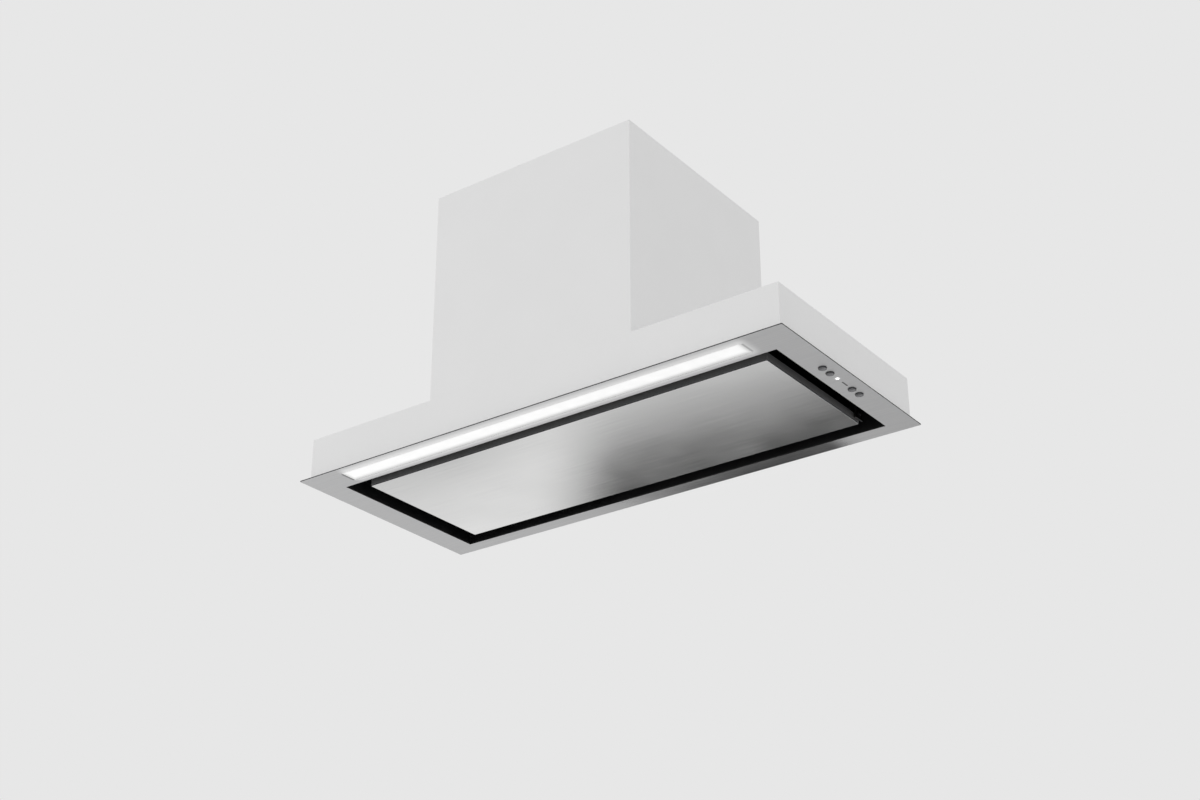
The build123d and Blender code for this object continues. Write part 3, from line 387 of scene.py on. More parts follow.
def turnedSteel(name, look):
    # rings one tool feed apart are the sine of the distance along the profile
    material, tree, place = startMaterial(name)
    along = addNode(tree, "SeparateXYZ", links={0: (place, "UV")})
    turns = addNode(
        tree, "Math", {1: 2 * math.pi * perMetre(look["feed"])}, {0: (along, "Y")},
        operation="MULTIPLY",
    )
    rings = addNode(tree, "Math", links={0: turns}, operation="SINE")
    grain = addNode(
        tree, "TexNoise", {"Scale": perMetre(look["grain"])}, {"Vector": (place, "Object")}
    )
    face = addNode(
        tree, "Mix", {6: linear(look["dark"]), 7: linear(look["light"])}, {0: grain},
        data_type="RGBA",
    )
    # the rim takes its painted shadow tone
    start, end = look["rimFrom"]
    edge = addNode(
        tree, "MapRange", {"From Min": start * mm, "From Max": end * mm}, {"Value": (along, "Y")},
        interpolation_type="SMOOTHSTEP",
    )
    colour = addNode(
        tree, "Mix", {7: linear(look["rim"])}, {0: edge, 6: (face, 2)}, data_type="RGBA"
    )
    depth = look["ringDepth"] * mm
    bump = addNode(
        tree, "Bump", {"Strength": look["bump"], "Distance": depth}, {"Height": rings}
    )
    endMaterial(
        tree, {"Metallic": 1.0, "Roughness": look["roughness"]},
        {"Base Color": (colour, 2), "Normal": bump},
    )
    return material


# coats, plastics and plain metals share one build, and each has the look of its real surface
coatLooks = {
    # enamel baked on steel: nearly black, satin, with a faint orange peel
    "blackEnamel": dict(
        low="#0d0d0e", high="#141415", cloud=60, grain=2.2, roughness=0.40, lift=0.10, metallic=0
    ),
    # paint: flat black, rubbed into the groove of the mark
    "blackPaint": dict(
        low="#050505", high="#0b0b0b", cloud=6, grain=0.5, roughness=0.65, lift=0.05, metallic=0
    ),
    # powder coat: pale grey, matt, pebbled at about 1 mm
    "powderCoat": dict(
        low="#e5e5e5", high="#e6e6e6", cloud=90, grain=1.1, roughness=0.55, lift=0.07, metallic=0
    ),
    # moulded ABS: fine spark-eroded grain
    "blackAbs": dict(
        low="#131314", high="#1b1b1c", cloud=30, grain=0.7, roughness=0.48, lift=0.30, metallic=0
    ),
    "whiteAbs": dict(
        low="#d6d6d2", high="#dededb", cloud=30, grain=0.7, roughness=0.42, lift=0.25, metallic=0
    ),
    # vulcanised rubber: dull, with a slight bloom
    "rubber": dict(
        low="#0d0d0d", high="#1a1a1a", cloud=12, grain=0.5, roughness=0.78, lift=0.20, metallic=0
    ),
    # sintered ferrite: charcoal, granular
    "ferrite": dict(
        low="#232324", high="#343435", cloud=4, grain=0.4, roughness=0.62, lift=0.45, metallic=0
    ),
    # die-cast aluminium: grey, cloudy from the mould, slightly rough
    "castAluminium": dict(
        low="#8d8e90", high="#a8a9ab", cloud=14, grain=0.8, roughness=0.46, lift=0.35, metallic=1
    ),
    # zinc-plated steel: cool, thinly clouded
    "zincSteel": dict(
        low="#a5a9ad", high="#c3c6c8", cloud=5, grain=0.6, roughness=0.30, lift=0.12, metallic=1
    ),
    # zinc-plated steel passivated black: dark, slightly glossy
    "blackZinc": dict(
        low="#151516", high="#222224", cloud=5, grain=0.6, roughness=0.38, lift=0.12, metallic=0.6
    ),
    # rolled aluminium sheet: bright, soft
    "millAluminium": dict(
        low="#acadaf", high="#b7b8b9", cloud=22, grain=0.9, roughness=0.36, lift=0.10, metallic=1
    ),
}
roughnessSwing = 0.04  # how far the grain moves the roughness
grainDepth = 0.05


def coat(name):
    # two tones in soft clouds, over a fine grain that moves the roughness and lifts the surface
    look = coatLooks[name]
    material, tree, place = startMaterial(name)
    clouds = addNode(
        tree, "TexNoise", {"Scale": perMetre(look["cloud"]), "Detail": 3.0},
        {"Vector": (place, "Object")},
    )
    level = addNode(
        tree, "MapRange", noiseSpan, {"Value": clouds}, interpolation_type="SMOOTHSTEP"
    )
    colour = addNode(
        tree, "Mix", {6: linear(look["low"]), 7: linear(look["high"])}, {0: level},
        data_type="RGBA",
    )
    grain = addNode(
        tree, "TexNoise", {"Scale": perMetre(look["grain"]), "Detail": 2.0},
        {"Vector": (place, "Object")},
    )
    low, high = look["roughness"] - roughnessSwing, look["roughness"] + roughnessSwing
    rough = addNode(
        tree, "MapRange", {**noiseSpan, "To Min": low, "To Max": high}, {"Value": grain}
    )
    bump = addNode(
        tree, "Bump", {"Strength": look["lift"], "Distance": grainDepth * mm}, {"Height": grain}
    )
    endMaterial(
        tree, {"Metallic": look["metallic"]},
        {"Base Color": (colour, 2), "Roughness": rough, "Normal": bump},
    )
    return material


# hot-dip galvanised sheet: crystals of zinc with wandering borders, each with its own tone
zincSpangle = {
    "low": "#9fa3a5",
    "high": "#b6babc",
    "crystal": 7.0,
    "wander": 14.0,
    "bend": 0.004,  # share of the noise in the place that the pattern is read at
    "roughness": (0.34, 0.44),
}


def galvanised(name, look):
    # a Voronoi pattern read at a place that noise has moved
    material, tree, place = startMaterial(name)
    wander = addNode(
        tree, "TexNoise", {"Scale": perMetre(look["wander"])}, {"Vector": (place, "Object")}
    )
    bent = addNode(
        tree, "Mix", {0: look["bend"]}, {4: (place, "Object"), 5: (wander, "Color")},
        data_type="VECTOR",
    )
    cells = addNode(
        tree, "TexVoronoi", {"Scale": perMetre(look["crystal"])}, {"Vector": (bent, 1)}
    )
    level = addNode(tree, "SeparateColor", links={0: (cells, "Color")})
    colour = addNode(
        tree, "Mix", {6: linear(look["low"]), 7: linear(look["high"])}, {0: level},
        data_type="RGBA",
    )
    low, high = look["roughness"]
    rough = addNode(tree, "MapRange", {"To Min": low, "To Max": high}, {"Value": level})
    endMaterial(tree, {"Metallic": 1.0}, {"Base Color": (colour, 2), "Roughness": rough})
    return material


# glass-fibre circuit board: green solder mask, lighter over the copper tracks
boardLook = {
    "mask": "#0d4a2a", "track": "#1c6b3f", "pitch": 5.0, "trackWidth": 0.12, "roughness": 0.32
}


def circuitBoard(name, look):
    # the joints of a brick pattern are the tracks; a brick is half a unit wide, so the scale is halved
    material, tree, place = startMaterial(name)
    mask = linear(look["mask"])
    tracks = addNode(
        tree, "TexBrick",
        {
            "Scale": perMetre(look["pitch"]) / 2,
            "Color1": mask,
            "Color2": mask,
            "Mortar": linear(look["track"]),
            "Mortar Size": look["trackWidth"],
        },
        {"Vector": (place, "Object")},
    )
    endMaterial(tree, {"Roughness": look["roughness"]}, {"Base Color": tracks})
    return material


# stack of electrical steel: dark sheets edge on, 0.5 mm in the real one, drawn at 1 mm
laminationLook = {
    "low": "#2c2d2f", "high": "#55575a", "sheet": 1.0, "roughness": 0.5, "metallic": 0.9
}


def lamination(name, look):
    # a sine wave along the shaft, light in one sheet and dark in the next
    material, tree, place = startMaterial(name)
    sheets = addNode(
        tree, "TexWave", {"Scale": perMetre(look["sheet"]) / (2 * math.pi)},
        {"Vector": (place, "Object")},
    )
    colour = addNode(
        tree, "Mix", {6: linear(look["low"]), 7: linear(look["high"])}, {0: (sheets, 1)},
        data_type="RGBA",
    )
    constants = {"Metallic": look["metallic"], "Roughness": look["roughness"]}
    endMaterial(tree, constants, {"Base Color": (colour, 2)})
    return material


# opal acrylic lit from behind: a white core, softer towards its edges where no lamp is behind it
opalLook = {
    "low": "#a0a09f",
    "high": "#a8a8a7",
    "light": "#ffffff",
    "strength": 0.7,
    "unevenness": 0.05,
    "lampPitch": 15.0,
    "haze": 3.0,
    "ior": 1.49,
    "roughness": 0.35,
    # reach of the fade in from each edge, and the level at the edge
    "left": (10.0, 0.45),
    "right": (10.0, 0.45),
    "front": (3.5, 0.68),
    "rear": (12.0, 0.45),
}
# the indicator's lens is small and lit all over
lensLook = dict(
    opalLook, strength=1.6, left=(1.0, 1.0), right=(1.0, 1.0), front=(1.0, 1.0), rear=(1.0, 1.0)
)


def opalAcrylic(name, look, low, high):
    # the glow is the least of four smooth rises, one from each edge of the box
    material, tree, place = startMaterial(name)
    line = addNode(tree, "SeparateXYZ", links={0: (place, "Object")})
    glow = None
    for edge, axis, end, inwards in (
        ("left", "X", low.x, 1), ("right", "X", high.x, -1),
        ("front", "Y", low.y, 1), ("rear", "Y", high.y, -1),
    ):
        reach, level = look[edge]
        rise = addNode(
            tree, "MapRange",
            {"From Min": end, "From Max": end + inwards * reach * mm, "To Min": level},
            {"Value": (line, axis)}, interpolation_type="SMOOTHSTEP",
        )
        glow = addNode(tree, "Math", links={0: glow, 1: rise}, operation="MINIMUM") if glow else rise
    lamps = addNode(
        tree, "TexNoise", {"Scale": perMetre(look["lampPitch"])}, {"Vector": (place, "Object")}
    )
    full = look["strength"]
    uneven = addNode(
        tree, "MapRange", {**noiseSpan, "To Min": full - look["unevenness"], "To Max": full},
        {"Value": lamps},
    )
    strength = addNode(tree, "Math", links={0: glow, 1: uneven}, operation="MULTIPLY")
    haze = addNode(
        tree, "TexNoise", {"Scale": perMetre(look["haze"])}, {"Vector": (place, "Object")}
    )
    body = addNode(
        tree, "Mix", {6: linear(look["low"]), 7: linear(look["high"])}, {0: haze},
        data_type="RGBA",
    )
    constants = {
        "Roughness": look["roughness"], "IOR": look["ior"], "Emission Color": linear(look["light"])
    }
    endMaterial(tree, constants, {"Base Color": (body, 2), "Emission Strength": strength})
    return material


# phosphor in silicone over the light chips: yellow, granular, faintly glowing
phosphorLook = {
    "low": "#e8d27a", "high": "#f6ecb4", "light": "#fff3c4", "strength": 1.0, "grain": 0.6,
    "roughness": 0.5,
}


def phosphor(name, look):
    # one fine noise between two yellows
    material, tree, place = startMaterial(name)
    grain = addNode(
        tree, "TexNoise", {"Scale": perMetre(look["grain"])}, {"Vector": (place, "Object")}
    )
    colour = addNode(
        tree, "Mix", {6: linear(look["low"]), 7: linear(look["high"])}, {0: grain},
        data_type="RGBA",
    )
    constants = {
        "Roughness": look["roughness"], "Emission Color": linear(look["light"]),
        "Emission Strength": look["strength"],
    }
    endMaterial(tree, constants, {"Base Color": (colour, 2)})
    return material


diffuserLow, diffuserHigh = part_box("light_diffuser")
lensLow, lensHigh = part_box("indicator_lens")
lampLow = (diffuserLow.x + platePaintedLightAndShade["lampLeft"] * mm, diffuserLow.y, 0)
lampHigh = (
    diffuserHigh.x - platePaintedLightAndShade["lampRight"] * mm, diffuserHigh.y - platePaintedLightAndShade["lampRear"] * mm, 0
)
gapFront = diffuserLow.y + platePaintedLightAndShade["gapInset"] * mm
gapRear = diffuserHigh.y - platePaintedLightAndShade["gapInset"] * mm
lensMiddle = (lensLow + lensHigh) / 2
# the plate's colour carries painted light beside the lamps and round the indicator, and painted shade at
# the ends of the slot
plateFinish = brushedSteel(
    "brushedStainlessPlate", plateSteel,
    paintedGlowAndShade=[
        (lampLow, lampHigh, platePaintedLightAndShade["lamp"]),
        ((diffuserLow.x, gapFront, 0), (0, gapRear, 0), platePaintedLightAndShade["leftGapPaintedShade"]),
        ((0, gapFront, 0), (diffuserHigh.x, gapRear, 0), platePaintedLightAndShade["rightGapPaintedShade"]),
        (lensMiddle, lensMiddle, platePaintedLightAndShade["lens"]),
    ],
    strip=rearStrip,
)
panelFinish = brushedSteel("brushedStainlessPanel", panelSteel)
capFinish = turnedSteel("turnedStainless", turnedSteelLook)
slotFinishes = {
    "stainless": plateFinish,
    "black_enamel": coat("blackEnamel"),
    "casing_paint": coat("powderCoat"),
    "galvanised_sheet": galvanised("galvanisedSheet", zincSpangle),
    "filter_aluminium": coat("millAluminium"),
    "diffuser_acrylic": opalAcrylic("opalAcrylic", opalLook, diffuserLow, diffuserHigh),
    "led_phosphor": phosphor("ledPhosphor", phosphorLook),
    "circuit_board": circuitBoard("solderMaskBoard", boardLook),
    "black_plastic": coat("blackAbs"),
    "white_plastic": coat("whiteAbs"),
    "zinc_steel": coat("zincSteel"),
    "magnet": coat("ferrite"),
    "cast_aluminium": coat("castAluminium"),
    "lamination_steel": lamination("electricalSteel", laminationLook),
    "rubber": coat("rubber"),
}
ownFinishes = {
    "indicator_lens": opalAcrylic("opalLens", lensLook, lensLow, lensHigh),
    "hinge_pins": coat("blackZinc"),
}
ownFinishes["hinge_clips"] = ownFinishes["hinge_brackets"] = ownFinishes["hinge_pins"]
slotOf = {part["node"]: part["material_slot"] for part in frame["record"]["subparts"]}
for nodeName, slotName in slotOf.items():
    holder = nodes[nodeName].data
    holder.materials.clear()
    holder.materials.append(ownFinishes.get(nodeName, slotFinishes[slotName]))
print("materials made:", len(bpy.data.materials))

sheetPieces = {
    # piece: node, body, radius of its broken edges in mm
    "facePlate": ("face_plate", "root", 0.25),
    "perimeterPanel": ("panel_skin", "panel", 0.08),
    "lowerCasing": ("lower_casing", "root", 0.45),
    "towerWrap": ("tower_wrap", "root", 0.45),
    "towerRearCover": ("tower_rear_cover", "root", 0.3),
    "topCover": ("top_cover", "root", 0.5),
    "intakeLiner": ("intake_liner", "root", 0.3),
    "filterFrameLeft": ("filter_frame_left", "root", 0.6),
    "filterFrameRight": ("filter_frame_right", "root", 0.6),
    "filterLatchLeft": ("filter_latch_left", "latch_left", 0.4),
    "filterLatchRight": ("filter_latch_right", "latch_right", 0.4),
    "ductCollar": ("duct_collar", "root", 0.3),
    "cableGland": ("cable_gland", "root", 0.6),
}
for pieceName, (nodeName, body, radius) in sheetPieces.items():
    slotName = slotOf[nodeName]
    finish = panelFinish if pieceName == "perimeterPanel" else slotFinishes[slotName]
    mesh = weldedMesh(nodeName, pieceName)
    finishPiece(mesh, pieceName, body, finish, (nodeName,), bevel=radius)
print("sheet pieces:", len(sheetPieces))

button = {
    "rimRadius": 5.85,
    "dishRadius": 4.6,
    "dishDepth": 1.1,
    "rimRound": 0.45,
    "flangeHeight": 3.6,
    "flangeRadius": 7.2,
    "flangeSheet": 1.2,
    "stemRadius": 3.0,
    "dishPoints": 14,
    "rimPoints": 6,
}


def buttonProfile(top, look):
    # from the middle of the face: a bowl whose depth falls with the square of the radius, a rounded rim,
    # the side, the flange and the stem, closed on the axis
    bowl = np.linspace(0, look["dishRadius"], look["dishPoints"])
    dish = np.stack([bowl, look["dishDepth"] * (1 - (bowl / look["dishRadius"]) ** 2)], axis=-1)
    turn = np.linspace(0, math.pi / 2, look["rimPoints"])
    corner, rim = look["rimRadius"] - look["rimRound"], look["rimRound"]
    rounded = np.stack([corner + rim * np.sin(turn), rim * (1 - np.cos(turn))], axis=-1)
    flange, sheet = look["flangeHeight"], look["flangeSheet"]
    foot = np.array([
        (look["rimRadius"], flange),
        (look["flangeRadius"], flange),
        (look["flangeRadius"], flange + sheet),
        (look["stemRadius"], flange + sheet),
        (look["stemRadius"], top),
        (0.0, top),
    ])
    return np.concatenate([dish, rounded, foot])


for number in range(1, 5):
    low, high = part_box(f"button_{number}")
    centre = ((low.x + high.x) / 2, (low.y + high.y) / 2, low.z)
    points, faces, uv = turned(buttonProfile((high.z - low.z) / mm, button), centre)
    mesh = closedMesh(f"pushButton{number}", points, faces, uv)
    finishPiece(
        mesh, f"pushButton{number}", f"button_{number}", capFinish,
        (f"button_{number}",),
    )
print("buttons turned")

# the line between the indicator and the third button, pressed into its groove in the plate; the face,
# the plate and the foot are heights
mark = {
    "length": 14.6, "width": 1.9, "stem": 0.62, "face": -1.54, "plate": -1.50, "foot": -1.12,
    "steps": 12,
}


def pill(look, centre):
    # a slot outline, two half circles joined by straight sides, taken out from its middle, up to the
    # plate, in to the stem, up to its foot and in again
    radius = look["width"] / 2
    turn = np.linspace(-math.pi / 2, math.pi / 2, look["steps"])
    run = look["length"] / 2 - radius
    outline = np.concatenate([
        np.stack([radius * np.sin(turn), run + radius * np.cos(turn)], axis=-1),
        np.stack([-radius * np.sin(turn), -run - radius * np.cos(turn)], axis=-1),
    ])
    scales = np.array([0, 1, 1, look["stem"], look["stem"], 0])[:, None, None]
    heights = np.array([look[key] for key in ("face", "face", "plate", "plate", "foot", "foot")])
    flat = outline[None] * scales
    points = np.concatenate([flat, heights[:, None, None] + 0 * flat[..., :1]], axis=-1) * mm
    return points + np.array(centre), gridFaces(len(heights), len(outline), wrapColumns=True)


thirdLow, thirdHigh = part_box("button_3")
middle = (lensMiddle + (thirdLow + thirdHigh) / 2) / 2
points, faces = pill(mark, (middle.x, middle.y, 0))
finishPiece(
    closedMesh("lineMark", points, faces), "lineMark", "root", coat("blackPaint")
)
print("line mark painted")

expandedMetal = {
    "rowPitch": 3.6,
    "meetGap": 0.6,  # between the middles of two strands where they meet
    "wave": 7.2,
    "flat": 0.22,  # share of a wave that runs straight before each step
    "strandWidth": 0.75,
    "strandThickness": 0.45,
    "tilt": 32.0,
    "layers": (-1.9, 1.2),  # heights of the two sheets about the pack's middle
    "notchWidth": 44.6,
    "notchDepth": 18.0,
}


def strandRows(xEnds, yEnds, height, look, shift):
    # each row is a ribbon along a stepped wave: half the wave high at one sign, then at the other,
    # and the next row has the opposite sign, so that neighbours meet at every step
    rows = max(1, int((yEnds[1] - yEnds[0]) / look["rowPitch"]))
    waves = max(1, int((xEnds[1] - xEnds[0]) / look["wave"]))
    phase = np.array([0.0, look["flat"], 0.5, 0.5 + look["flat"]])
    side = np.array([1.0, 1.0, -1.0, -1.0])
    x = (np.arange(waves)[:, None] + phase[None, :]).ravel() * (xEnds[1] - xEnds[0]) / waves
    x = np.append(x + xEnds[0], xEnds[1])
    swing = np.append(np.tile(side, waves), 1.0) * (look["rowPitch"] - look["meetGap"]) / 2
    row = np.arange(rows)
    middle = yEnds[0] + (row + 0.5) * (yEnds[1] - yEnds[0]) / rows
    sign = np.where((row + shift) % 2, 1.0, -1.0)
    y = middle[:, None] + sign[:, None] * swing[None, :]
    tilt = math.radians(look["tilt"])
    section = np.array([(-1, -1), (1, -1), (1, 1), (-1, 1)]) / 2
    section = section * [look["strandWidth"], look["strandThickness"]]
    across = section[:, 0] * math.cos(tilt) - section[:, 1] * math.sin(tilt)
    up = section[:, 0] * math.sin(tilt) + section[:, 1] * math.cos(tilt)
    shape = (rows, len(x), 4)
    points = np.stack([
        np.broadcast_to(x[None, :, None], shape),
        np.broadcast_to(y[:, :, None] + across[None, None, :], shape),
        np.broadcast_to(height + up[None, None, :], shape),
    ], axis=-1)
    last = (len(x) - 1) * 4
    caps = np.array([[0, 1, 2, 3], [last + 3, last + 2, last + 1, last]])
    strand = np.concatenate([gridFaces(len(x), 4, wrapColumns=True)[:, ::-1], caps])
    faces = strand[None] + (row * len(x) * 4)[:, None, None]
    return points.reshape(-1, 3), faces.reshape(-1, 4)


def expandedPack(nodeName, look):
    # two sheets of strands, each in three fields that go round the notch for the latch
    low, high = [np.array(corner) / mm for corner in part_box(nodeName)]
    middle = (low + high) / 2
    half, back = look["notchWidth"] / 2, low[1] + look["notchDepth"]
    fields = [
        ((low[0], high[0]), (back, high[1])),
        ((low[0], middle[0] - half), (low[1], back)),
        ((middle[0] + half, high[0]), (low[1], back)),
    ]
    points, faces, count = [], [], 0
    for shift, offset in enumerate(look["layers"]):
        for xEnds, yEnds in fields:
            strands, quads = strandRows(xEnds, yEnds, middle[2] + offset, look, shift)
            points.append(strands)
            faces.append(quads + count)
            count += len(strands)
    return np.concatenate(points) * mm, np.concatenate(faces)


for side in ("left", "right"):
    pieceName = f"filterMesh{side.title()}"
    points, faces = expandedPack(f"filter_mesh_{side}", expandedMetal)
    mesh = bpy.data.meshes.new(pieceName)
    mesh.from_pydata(points.tolist(), [], faces.tolist())
    finishPiece(
        mesh, pieceName, "root", slotFinishes["filter_aluminium"],
        (f"filter_mesh_{side}",),
    )
    print("filter mesh", side, "quads:", len(faces))

panHead = {
    "headRadius": 3.8,
    "headHeight": 2.4,
    "dome": 0.35,
    "crown": 3.1,
    "shoulder": (3.55, 1.75),
    "rimHeight": 1.2,
    "shankRadius": 2.0,
    "shankLength": 8.0,
    "point": 0.8,
    "crossWidth": 0.42,
    "crossReach": 2.0,
    "crossDepth": 1.2,
    "barSides": 8,  # powers that make the sides and the ends of the cross's bars steep
    "barEnds": 12,
    "headShare": 1.5,  # what is this much wider than the shank belongs to the head
    "turn": 0.7,  # each screw stopped at its own angle, in radians
    "rings": 14,
    "steps": 48,
}


def screwSurface(look):
    # a domed disc, then the rim, the seat and the shank; the disc drops inside two crossed bars, where
    # a bar is 1 / (1 + distance over width to a high power) across, times the same along it
    crown = np.linspace(0, look["crown"], look["rings"])
    top = np.stack([crown, look["headHeight"] - look["dome"] * (crown / look["crown"]) ** 2], axis=-1)
    shank, length, point = look["shankRadius"], look["shankLength"], look["point"]
    rest = np.array([
        look["shoulder"], (look["headRadius"], look["rimHeight"]), (look["headRadius"], 0),
        (shank, 0), (shank, point - length), (shank - point, -length), (0, -length),
    ])
    points, faces, uv = turned(np.concatenate([top, rest]), (0, 0, 0), look["steps"])
    across = np.abs(points[:, :look["rings"], :2]) / mm
    narrow = 1 / (1 + (across / look["crossWidth"]) ** look["barSides"])
    long = 1 / (1 + (across / look["crossReach"]) ** look["barEnds"])
    bars = np.maximum(narrow[..., 0] * long[..., 1], narrow[..., 1] * long[..., 0])
    points[:, :look["rings"], 2] -= look["crossDepth"] * mm * bars
    return points.reshape(-1, 3), faces


def screwPlaces(nodeName, look):
    # every vertex takes the lowest number among its neighbours until nothing changes, so each screw has
    # one number; its long side is then the axis, and the end with the wide ring the head
    mesh = weldedMesh(nodeName, "screwPlaces")
    ends = np.zeros(len(mesh.edges) * 2, int)
    cloud = np.zeros(len(mesh.vertices) * 3)
    mesh.edges.foreach_get("vertices", ends)
    mesh.vertices.foreach_get("co", cloud)
    bpy.data.meshes.remove(mesh)
    a, b = ends.reshape(-1, 2).T
    cloud, shank = cloud.reshape(-1, 3), look["shankRadius"]
    number, before = np.arange(len(cloud)), None
    while before is None or (number != before).any():
        before = number.copy()
        np.minimum.at(number, a, before[b])
        np.minimum.at(number, b, before[a])
    places = []
    for screw in np.unique(number):
        own = cloud[number == screw]
        low, high = own.min(0), own.max(0)
        axis = int(np.argmax(high - low))
        seat = (low + high) / 2
        wide = np.hypot(*np.delete(own - seat, axis, axis=1).T) > shank * look["headShare"] * mm
        outwards = np.sign(own[wide, axis].mean() - seat[axis])
        seat[axis] = (high if outwards > 0 else low)[axis] - outwards * look["headHeight"] * mm
        places.append((seat, axis, outwards))
    return places


def placedScrews(look):
    # the one screw surface turned about its axis, laid along each screw's axis and moved to its seat
    base, faces = screwSurface(look)
    points, allFaces = [], []
    for count, (seat, axis, outwards) in enumerate(screwPlaces("screws", look)):
        turn = look["turn"] * count
        moved = np.zeros_like(base)
        moved[:, (axis + 1) % 3] = base[:, 0] * math.cos(turn) - base[:, 1] * math.sin(turn)
        moved[:, (axis + 2) % 3] = base[:, 0] * math.sin(turn) + base[:, 1] * math.cos(turn)
        moved[:, axis] = base[:, 2]
        moved[:, (axis + 2) % 3] *= outwards
        moved[:, axis] *= outwards
        points.append(moved + seat)
        allFaces.append(faces + count * len(base))
    return np.concatenate(points), np.concatenate(allFaces)


points, faces = placedScrews(panHead)
finishPiece(
    closedMesh("casingScrews", points, faces), "casingScrews", "root",
    slotFinishes["zinc_steel"], ("screws",),
)
print("screws placed")

# the bead rolled round the duct spigot, which keeps a hose clip on
bead = {
    "radius": 74.5, "sunk": 0.2, "proud": 1.0, "half": 1.6, "wall": 0.5, "below": 12.0,
    "points": 9, "steps": 128,
}


def beadProfile(look):
    # half an ellipse outside the tube, closed by a flat inside its wall
    turn = np.linspace(-math.pi / 2, math.pi / 2, look["points"])
    base = look["radius"] - look["sunk"]
    outer = np.stack(
        [base + (look["proud"] + look["sunk"]) * np.cos(turn), look["half"] * np.sin(turn)], axis=-1
    )
    inside = look["radius"] - look["wall"]
    return np.concatenate([outer, [(inside, look["half"]), (inside, -look["half"])], outer[:1]])


collarLow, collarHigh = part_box("duct_collar")
centre = (collarLow + collarHigh) / 2
centre.z = collarHigh.z - bead["below"] * mm
points, faces, uv = turned(beadProfile(bead), centre, bead["steps"])
finishPiece(
    closedMesh("spigotBead", points, faces, uv), "spigotBead", "root",
    slotFinishes["galvanised_sheet"],
)
print("spigot bead rolled")

# where the photo was taken from, with angles in degrees
photoCamera = {
    "place": (1.525, -2.068, -1.1615),  # in metres
    "turnLeft": 36.42,
    "tiltUp": 25.93,
    "focalPixels": 1906.0,
    "frameWidth": 1200.0,
    "sensor": 36.0,
}
cameraData = bpy.data.cameras.new("photoCamera")
cameraData.sensor_width = photoCamera["sensor"]
cameraData.lens = photoCamera["sensor"] * photoCamera["focalPixels"] / photoCamera["frameWidth"]
camera = bpy.data.objects.new("photoCamera", cameraData)
camera.location = photoCamera["place"]
camera.rotation_euler = (
    math.radians(90 + photoCamera["tiltUp"]), 0, math.radians(photoCamera["turnLeft"])
)
bpy.context.scene.collection.objects.link(camera)
bpy.context.scene.camera = camera
print("camera placed")

floorLook = {
    "drop": 2.75,  # in metres, as the radius and the fade
    "radius": 45.0,
    "rings": 24,
    "steps": 96,
    "dark": "#e5e5e5",
    "light": "#e7e7e7",
    "grain": 400.0,
    "fade": (3.0, 9.0),  # where the floor goes over into the background
}


def makeFloor(look):
    # a flat disc: rings whose radius grows with the square of their number
    radius = look["radius"] * np.linspace(0, 1, look["rings"])[None, :] ** 2
    angle = np.linspace(0, 2 * math.pi, look["steps"], endpoint=False)[:, None]
    flat = [radius * np.cos(angle), radius * np.sin(angle), -look["drop"] + 0 * radius * angle]
    mesh = bpy.data.meshes.new("studioFloor")
    faces = gridFaces(look["steps"], look["rings"], wrapRows=True)[:, ::-1]
    mesh.from_pydata(np.stack(flat, axis=-1).reshape(-1, 3).tolist(), [], faces.tolist())
    mesh.validate()
    floor = bpy.data.objects.new("studioFloor", mesh)
    bpy.context.scene.collection.objects.link(floor)
    mesh.materials.append(paleFloor("paleFloor", look))


def paleFloor(name, look):
    # matt and pale, glowing as the background far out for the camera, clear for mirrored rays
    material, tree, place = startMaterial(name)
    grain = addNode(
        tree, "TexNoise", {"Scale": perMetre(look["grain"])}, {"Vector": (place, "Object")}
    )
    colour = addNode(
        tree, "Mix", {6: linear(look["dark"]), 7: linear(look["light"])}, {0: grain},
        data_type="RGBA",
    )
    matt = addNode(tree, "BsdfDiffuse", links={"Color": (colour, 2)})
    away = addNode(tree, "VectorMath", links={0: (place, "Object")}, operation="LENGTH")
    start, end = look["fade"]
    fade = addNode(
        tree, "MapRange", {"From Min": start, "From Max": end}, {"Value": (away, "Value")},
        interpolation_type="SMOOTHSTEP",
    )
    glow = addNode(tree, "Emission", {"Color": linear(look["light"])})
    path = addNode(tree, "LightPath")
    far = addNode(
        tree, "Math", links={0: fade, 1: (path, "Is Camera Ray")}, operation="MULTIPLY"
    )
    seen = addNode(tree, "MixShader", links={0: far, 1: matt, 2: glow})
    mirrored = addNode(
        tree, "Math", links={0: (path, "Is Glossy Ray"), 1: (path, "Is Transmission Ray")},
        operation="MAXIMUM",
    )
    clear = addNode(tree, "BsdfTransparent")
    mixed = addNode(tree, "MixShader", links={0: mirrored, 1: seen, 2: clear})
    addNode(tree, "OutputMaterial", links={"Surface": mixed})
    return material


makeFloor(floorLook)

studio = {
    "background": "#e7e7e7",
    "daylight": 0.82,
    "mirror": 0.92,
    "leastAhead": 0.05,  # rays that go less far ahead than this count as going this far
    # a dark flag low behind the hood, which the steel mirrors: its soft edges are given as slopes of
    # the mirrored ray, sideways and downwards, each from clear to dark
    "flagSide": (0.79, 0.72),
    "flagInner": (-1.2, -0.6),
    "flagUp": (0.15, 0.32),
    # the light left inside it, from its far part to its near part
    "flagDown": (0.521, 0.625),
    "flagLevel": (0.02, 0.96),
    # a thin veil over what the near left corner mirrors
    "veilSide": (0.73, 0.88),
    "veilDown": (0.562, 0.592),
    "veilEnd": (1.0, 0.75),
    "veil": 0.38,
    # a second flag, high behind on the right, which keeps the upright rims on that side dark
    "rimSide": (-0.1, 0.25),
    "rimBehind": (0.0, 0.4),
    "rimUp": (0.0, 0.25),
    "rimLevel": 0.3,
}


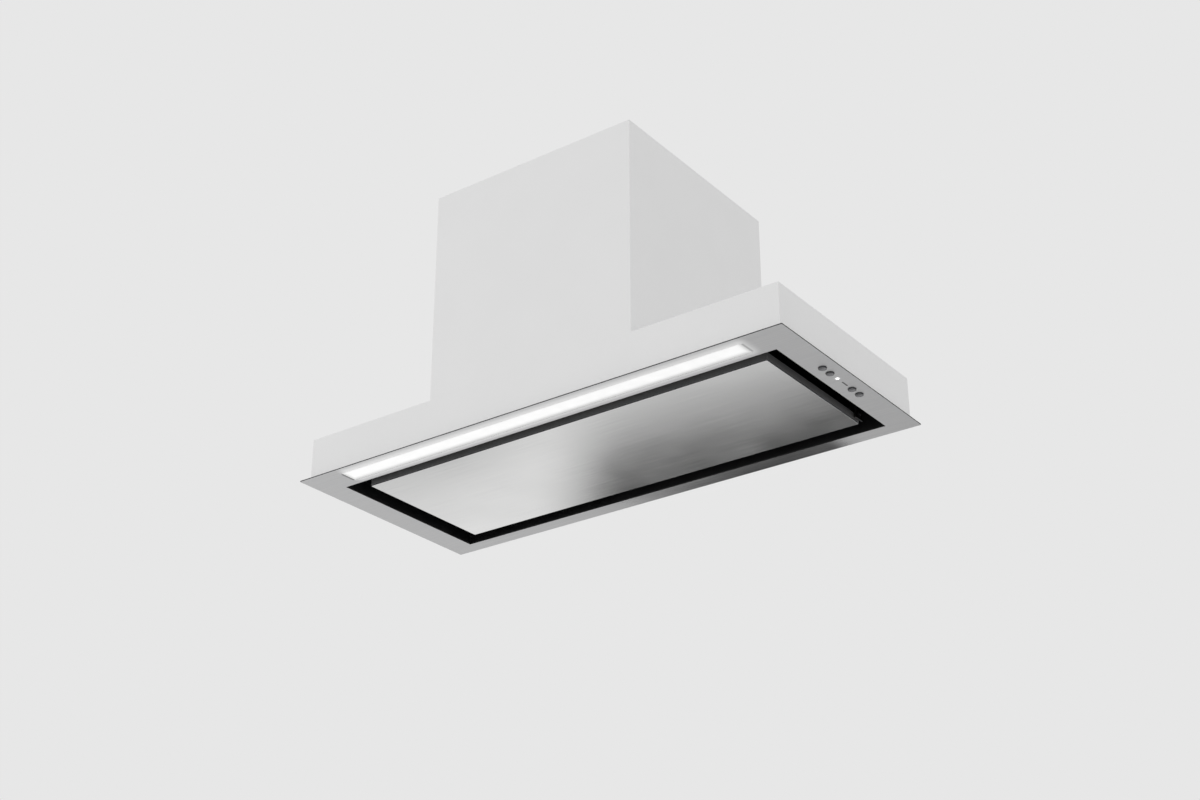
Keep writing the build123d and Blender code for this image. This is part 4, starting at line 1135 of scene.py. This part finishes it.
def mirroredLight(tree, look):
    # a bright level less the flags, which are products of smooth rises: the low one's over the ray's
    # slopes, minus x and minus z divided by how far it goes ahead, the high one's over its x, y and z
    place = addNode(tree, "TexCoord")
    ray = addNode(tree, "SeparateXYZ", links={0: (place, "Generated")})
    ahead = addNode(tree, "Math", {1: look["leastAhead"]}, {0: (ray, "Y")}, operation="MAXIMUM")
    behind = addNode(tree, "Math", {1: -1.0}, {0: ahead}, operation="MULTIPLY")
    side = addNode(tree, "Math", links={0: (ray, "X"), 1: behind}, operation="DIVIDE")
    down = addNode(tree, "Math", links={0: (ray, "Z"), 1: behind}, operation="DIVIDE")
    inside = riseProduct(
        tree, look, [(side, "flagSide"), (side, "flagInner"), (down, "flagUp")]
    )
    (start, end), (dim, full) = look["flagDown"], look["flagLevel"]
    left = addNode(
        tree, "MapRange", {"From Min": start, "From Max": end, "To Min": dim, "To Max": full},
        {"Value": down}, interpolation_type="SMOOTHSTEP",
    )
    kept = addNode(tree, "Mix", {2: 1.0}, {0: inside, 3: left}, data_type="FLOAT")
    veil = riseProduct(
        tree, look, [(side, "veilSide"), (down, "veilDown"), (down, "veilEnd")]
    )
    thin = addNode(tree, "Mix", {2: 1.0, 3: 1 - look["veil"]}, {0: veil}, data_type="FLOAT")
    under = addNode(tree, "Math", links={0: kept, 1: thin}, operation="MULTIPLY")
    high = riseProduct(
        tree, look, [((ray, "X"), "rimSide"), ((ray, "Y"), "rimBehind"), ((ray, "Z"), "rimUp")]
    )
    beside = addNode(tree, "Mix", {2: 1.0, 3: look["rimLevel"]}, {0: high}, data_type="FLOAT")
    both = addNode(tree, "Math", links={0: under, 1: beside}, operation="MULTIPLY")
    return addNode(tree, "Math", {1: look["mirror"]}, {0: both}, operation="MULTIPLY")


def makeWorld(look):
    # the camera sees one pale tone, a mirrored ray the light with the flags, and others even daylight
    world = bpy.data.worlds.new("studioWorld")
    bpy.context.scene.world = world
    world.use_nodes = True
    tree = world.node_tree
    tree.nodes.clear()
    path = addNode(tree, "LightPath")
    level = addNode(
        tree, "Mix", {2: look["daylight"]},
        {0: (path, "Is Glossy Ray"), 3: mirroredLight(tree, look)}, data_type="FLOAT",
    )
    lit = addNode(tree, "Background", {"Color": (1, 1, 1, 1)}, {"Strength": level})
    plain = addNode(tree, "Background", {"Color": linear(look["background"]), "Strength": 1.0})
    through = addNode(
        tree, "Math", links={0: (path, "Is Camera Ray"), 1: (path, "Is Transmission Ray")},
        operation="MAXIMUM",
    )
    mixed = addNode(tree, "MixShader", links={0: through, 1: lit, 2: plain})
    addNode(tree, "OutputWorld", links={"Surface": mixed})


makeWorld(studio)

softBoxes = {
    # name: place and width in metres, power in watts
    "frontBox": ((-2.2, -4.6, 1.6), 3.0, 34.0),
    "sideBox": ((4.8, -1.2, 1.2), 3.0, 16.0),
    "topBox": ((0.6, 0.4, 4.6), 3.0, 12.0),
    "rearBox": ((-1.5, 4.8, 1.8), 3.0, 14.0),
}
for name, (place, width, power) in softBoxes.items():
    lamp = bpy.data.lights.new(name, "AREA")
    lamp.size = width
    lamp.energy = power
    box = bpy.data.objects.new(name, lamp)
    box.location = place
    box.rotation_euler = (-box.location).to_track_quat("-Z", "Y").to_euler()
    bpy.context.scene.collection.objects.link(box)
bpy.context.scene.view_settings.view_transform = "Standard"
print("studio ready")
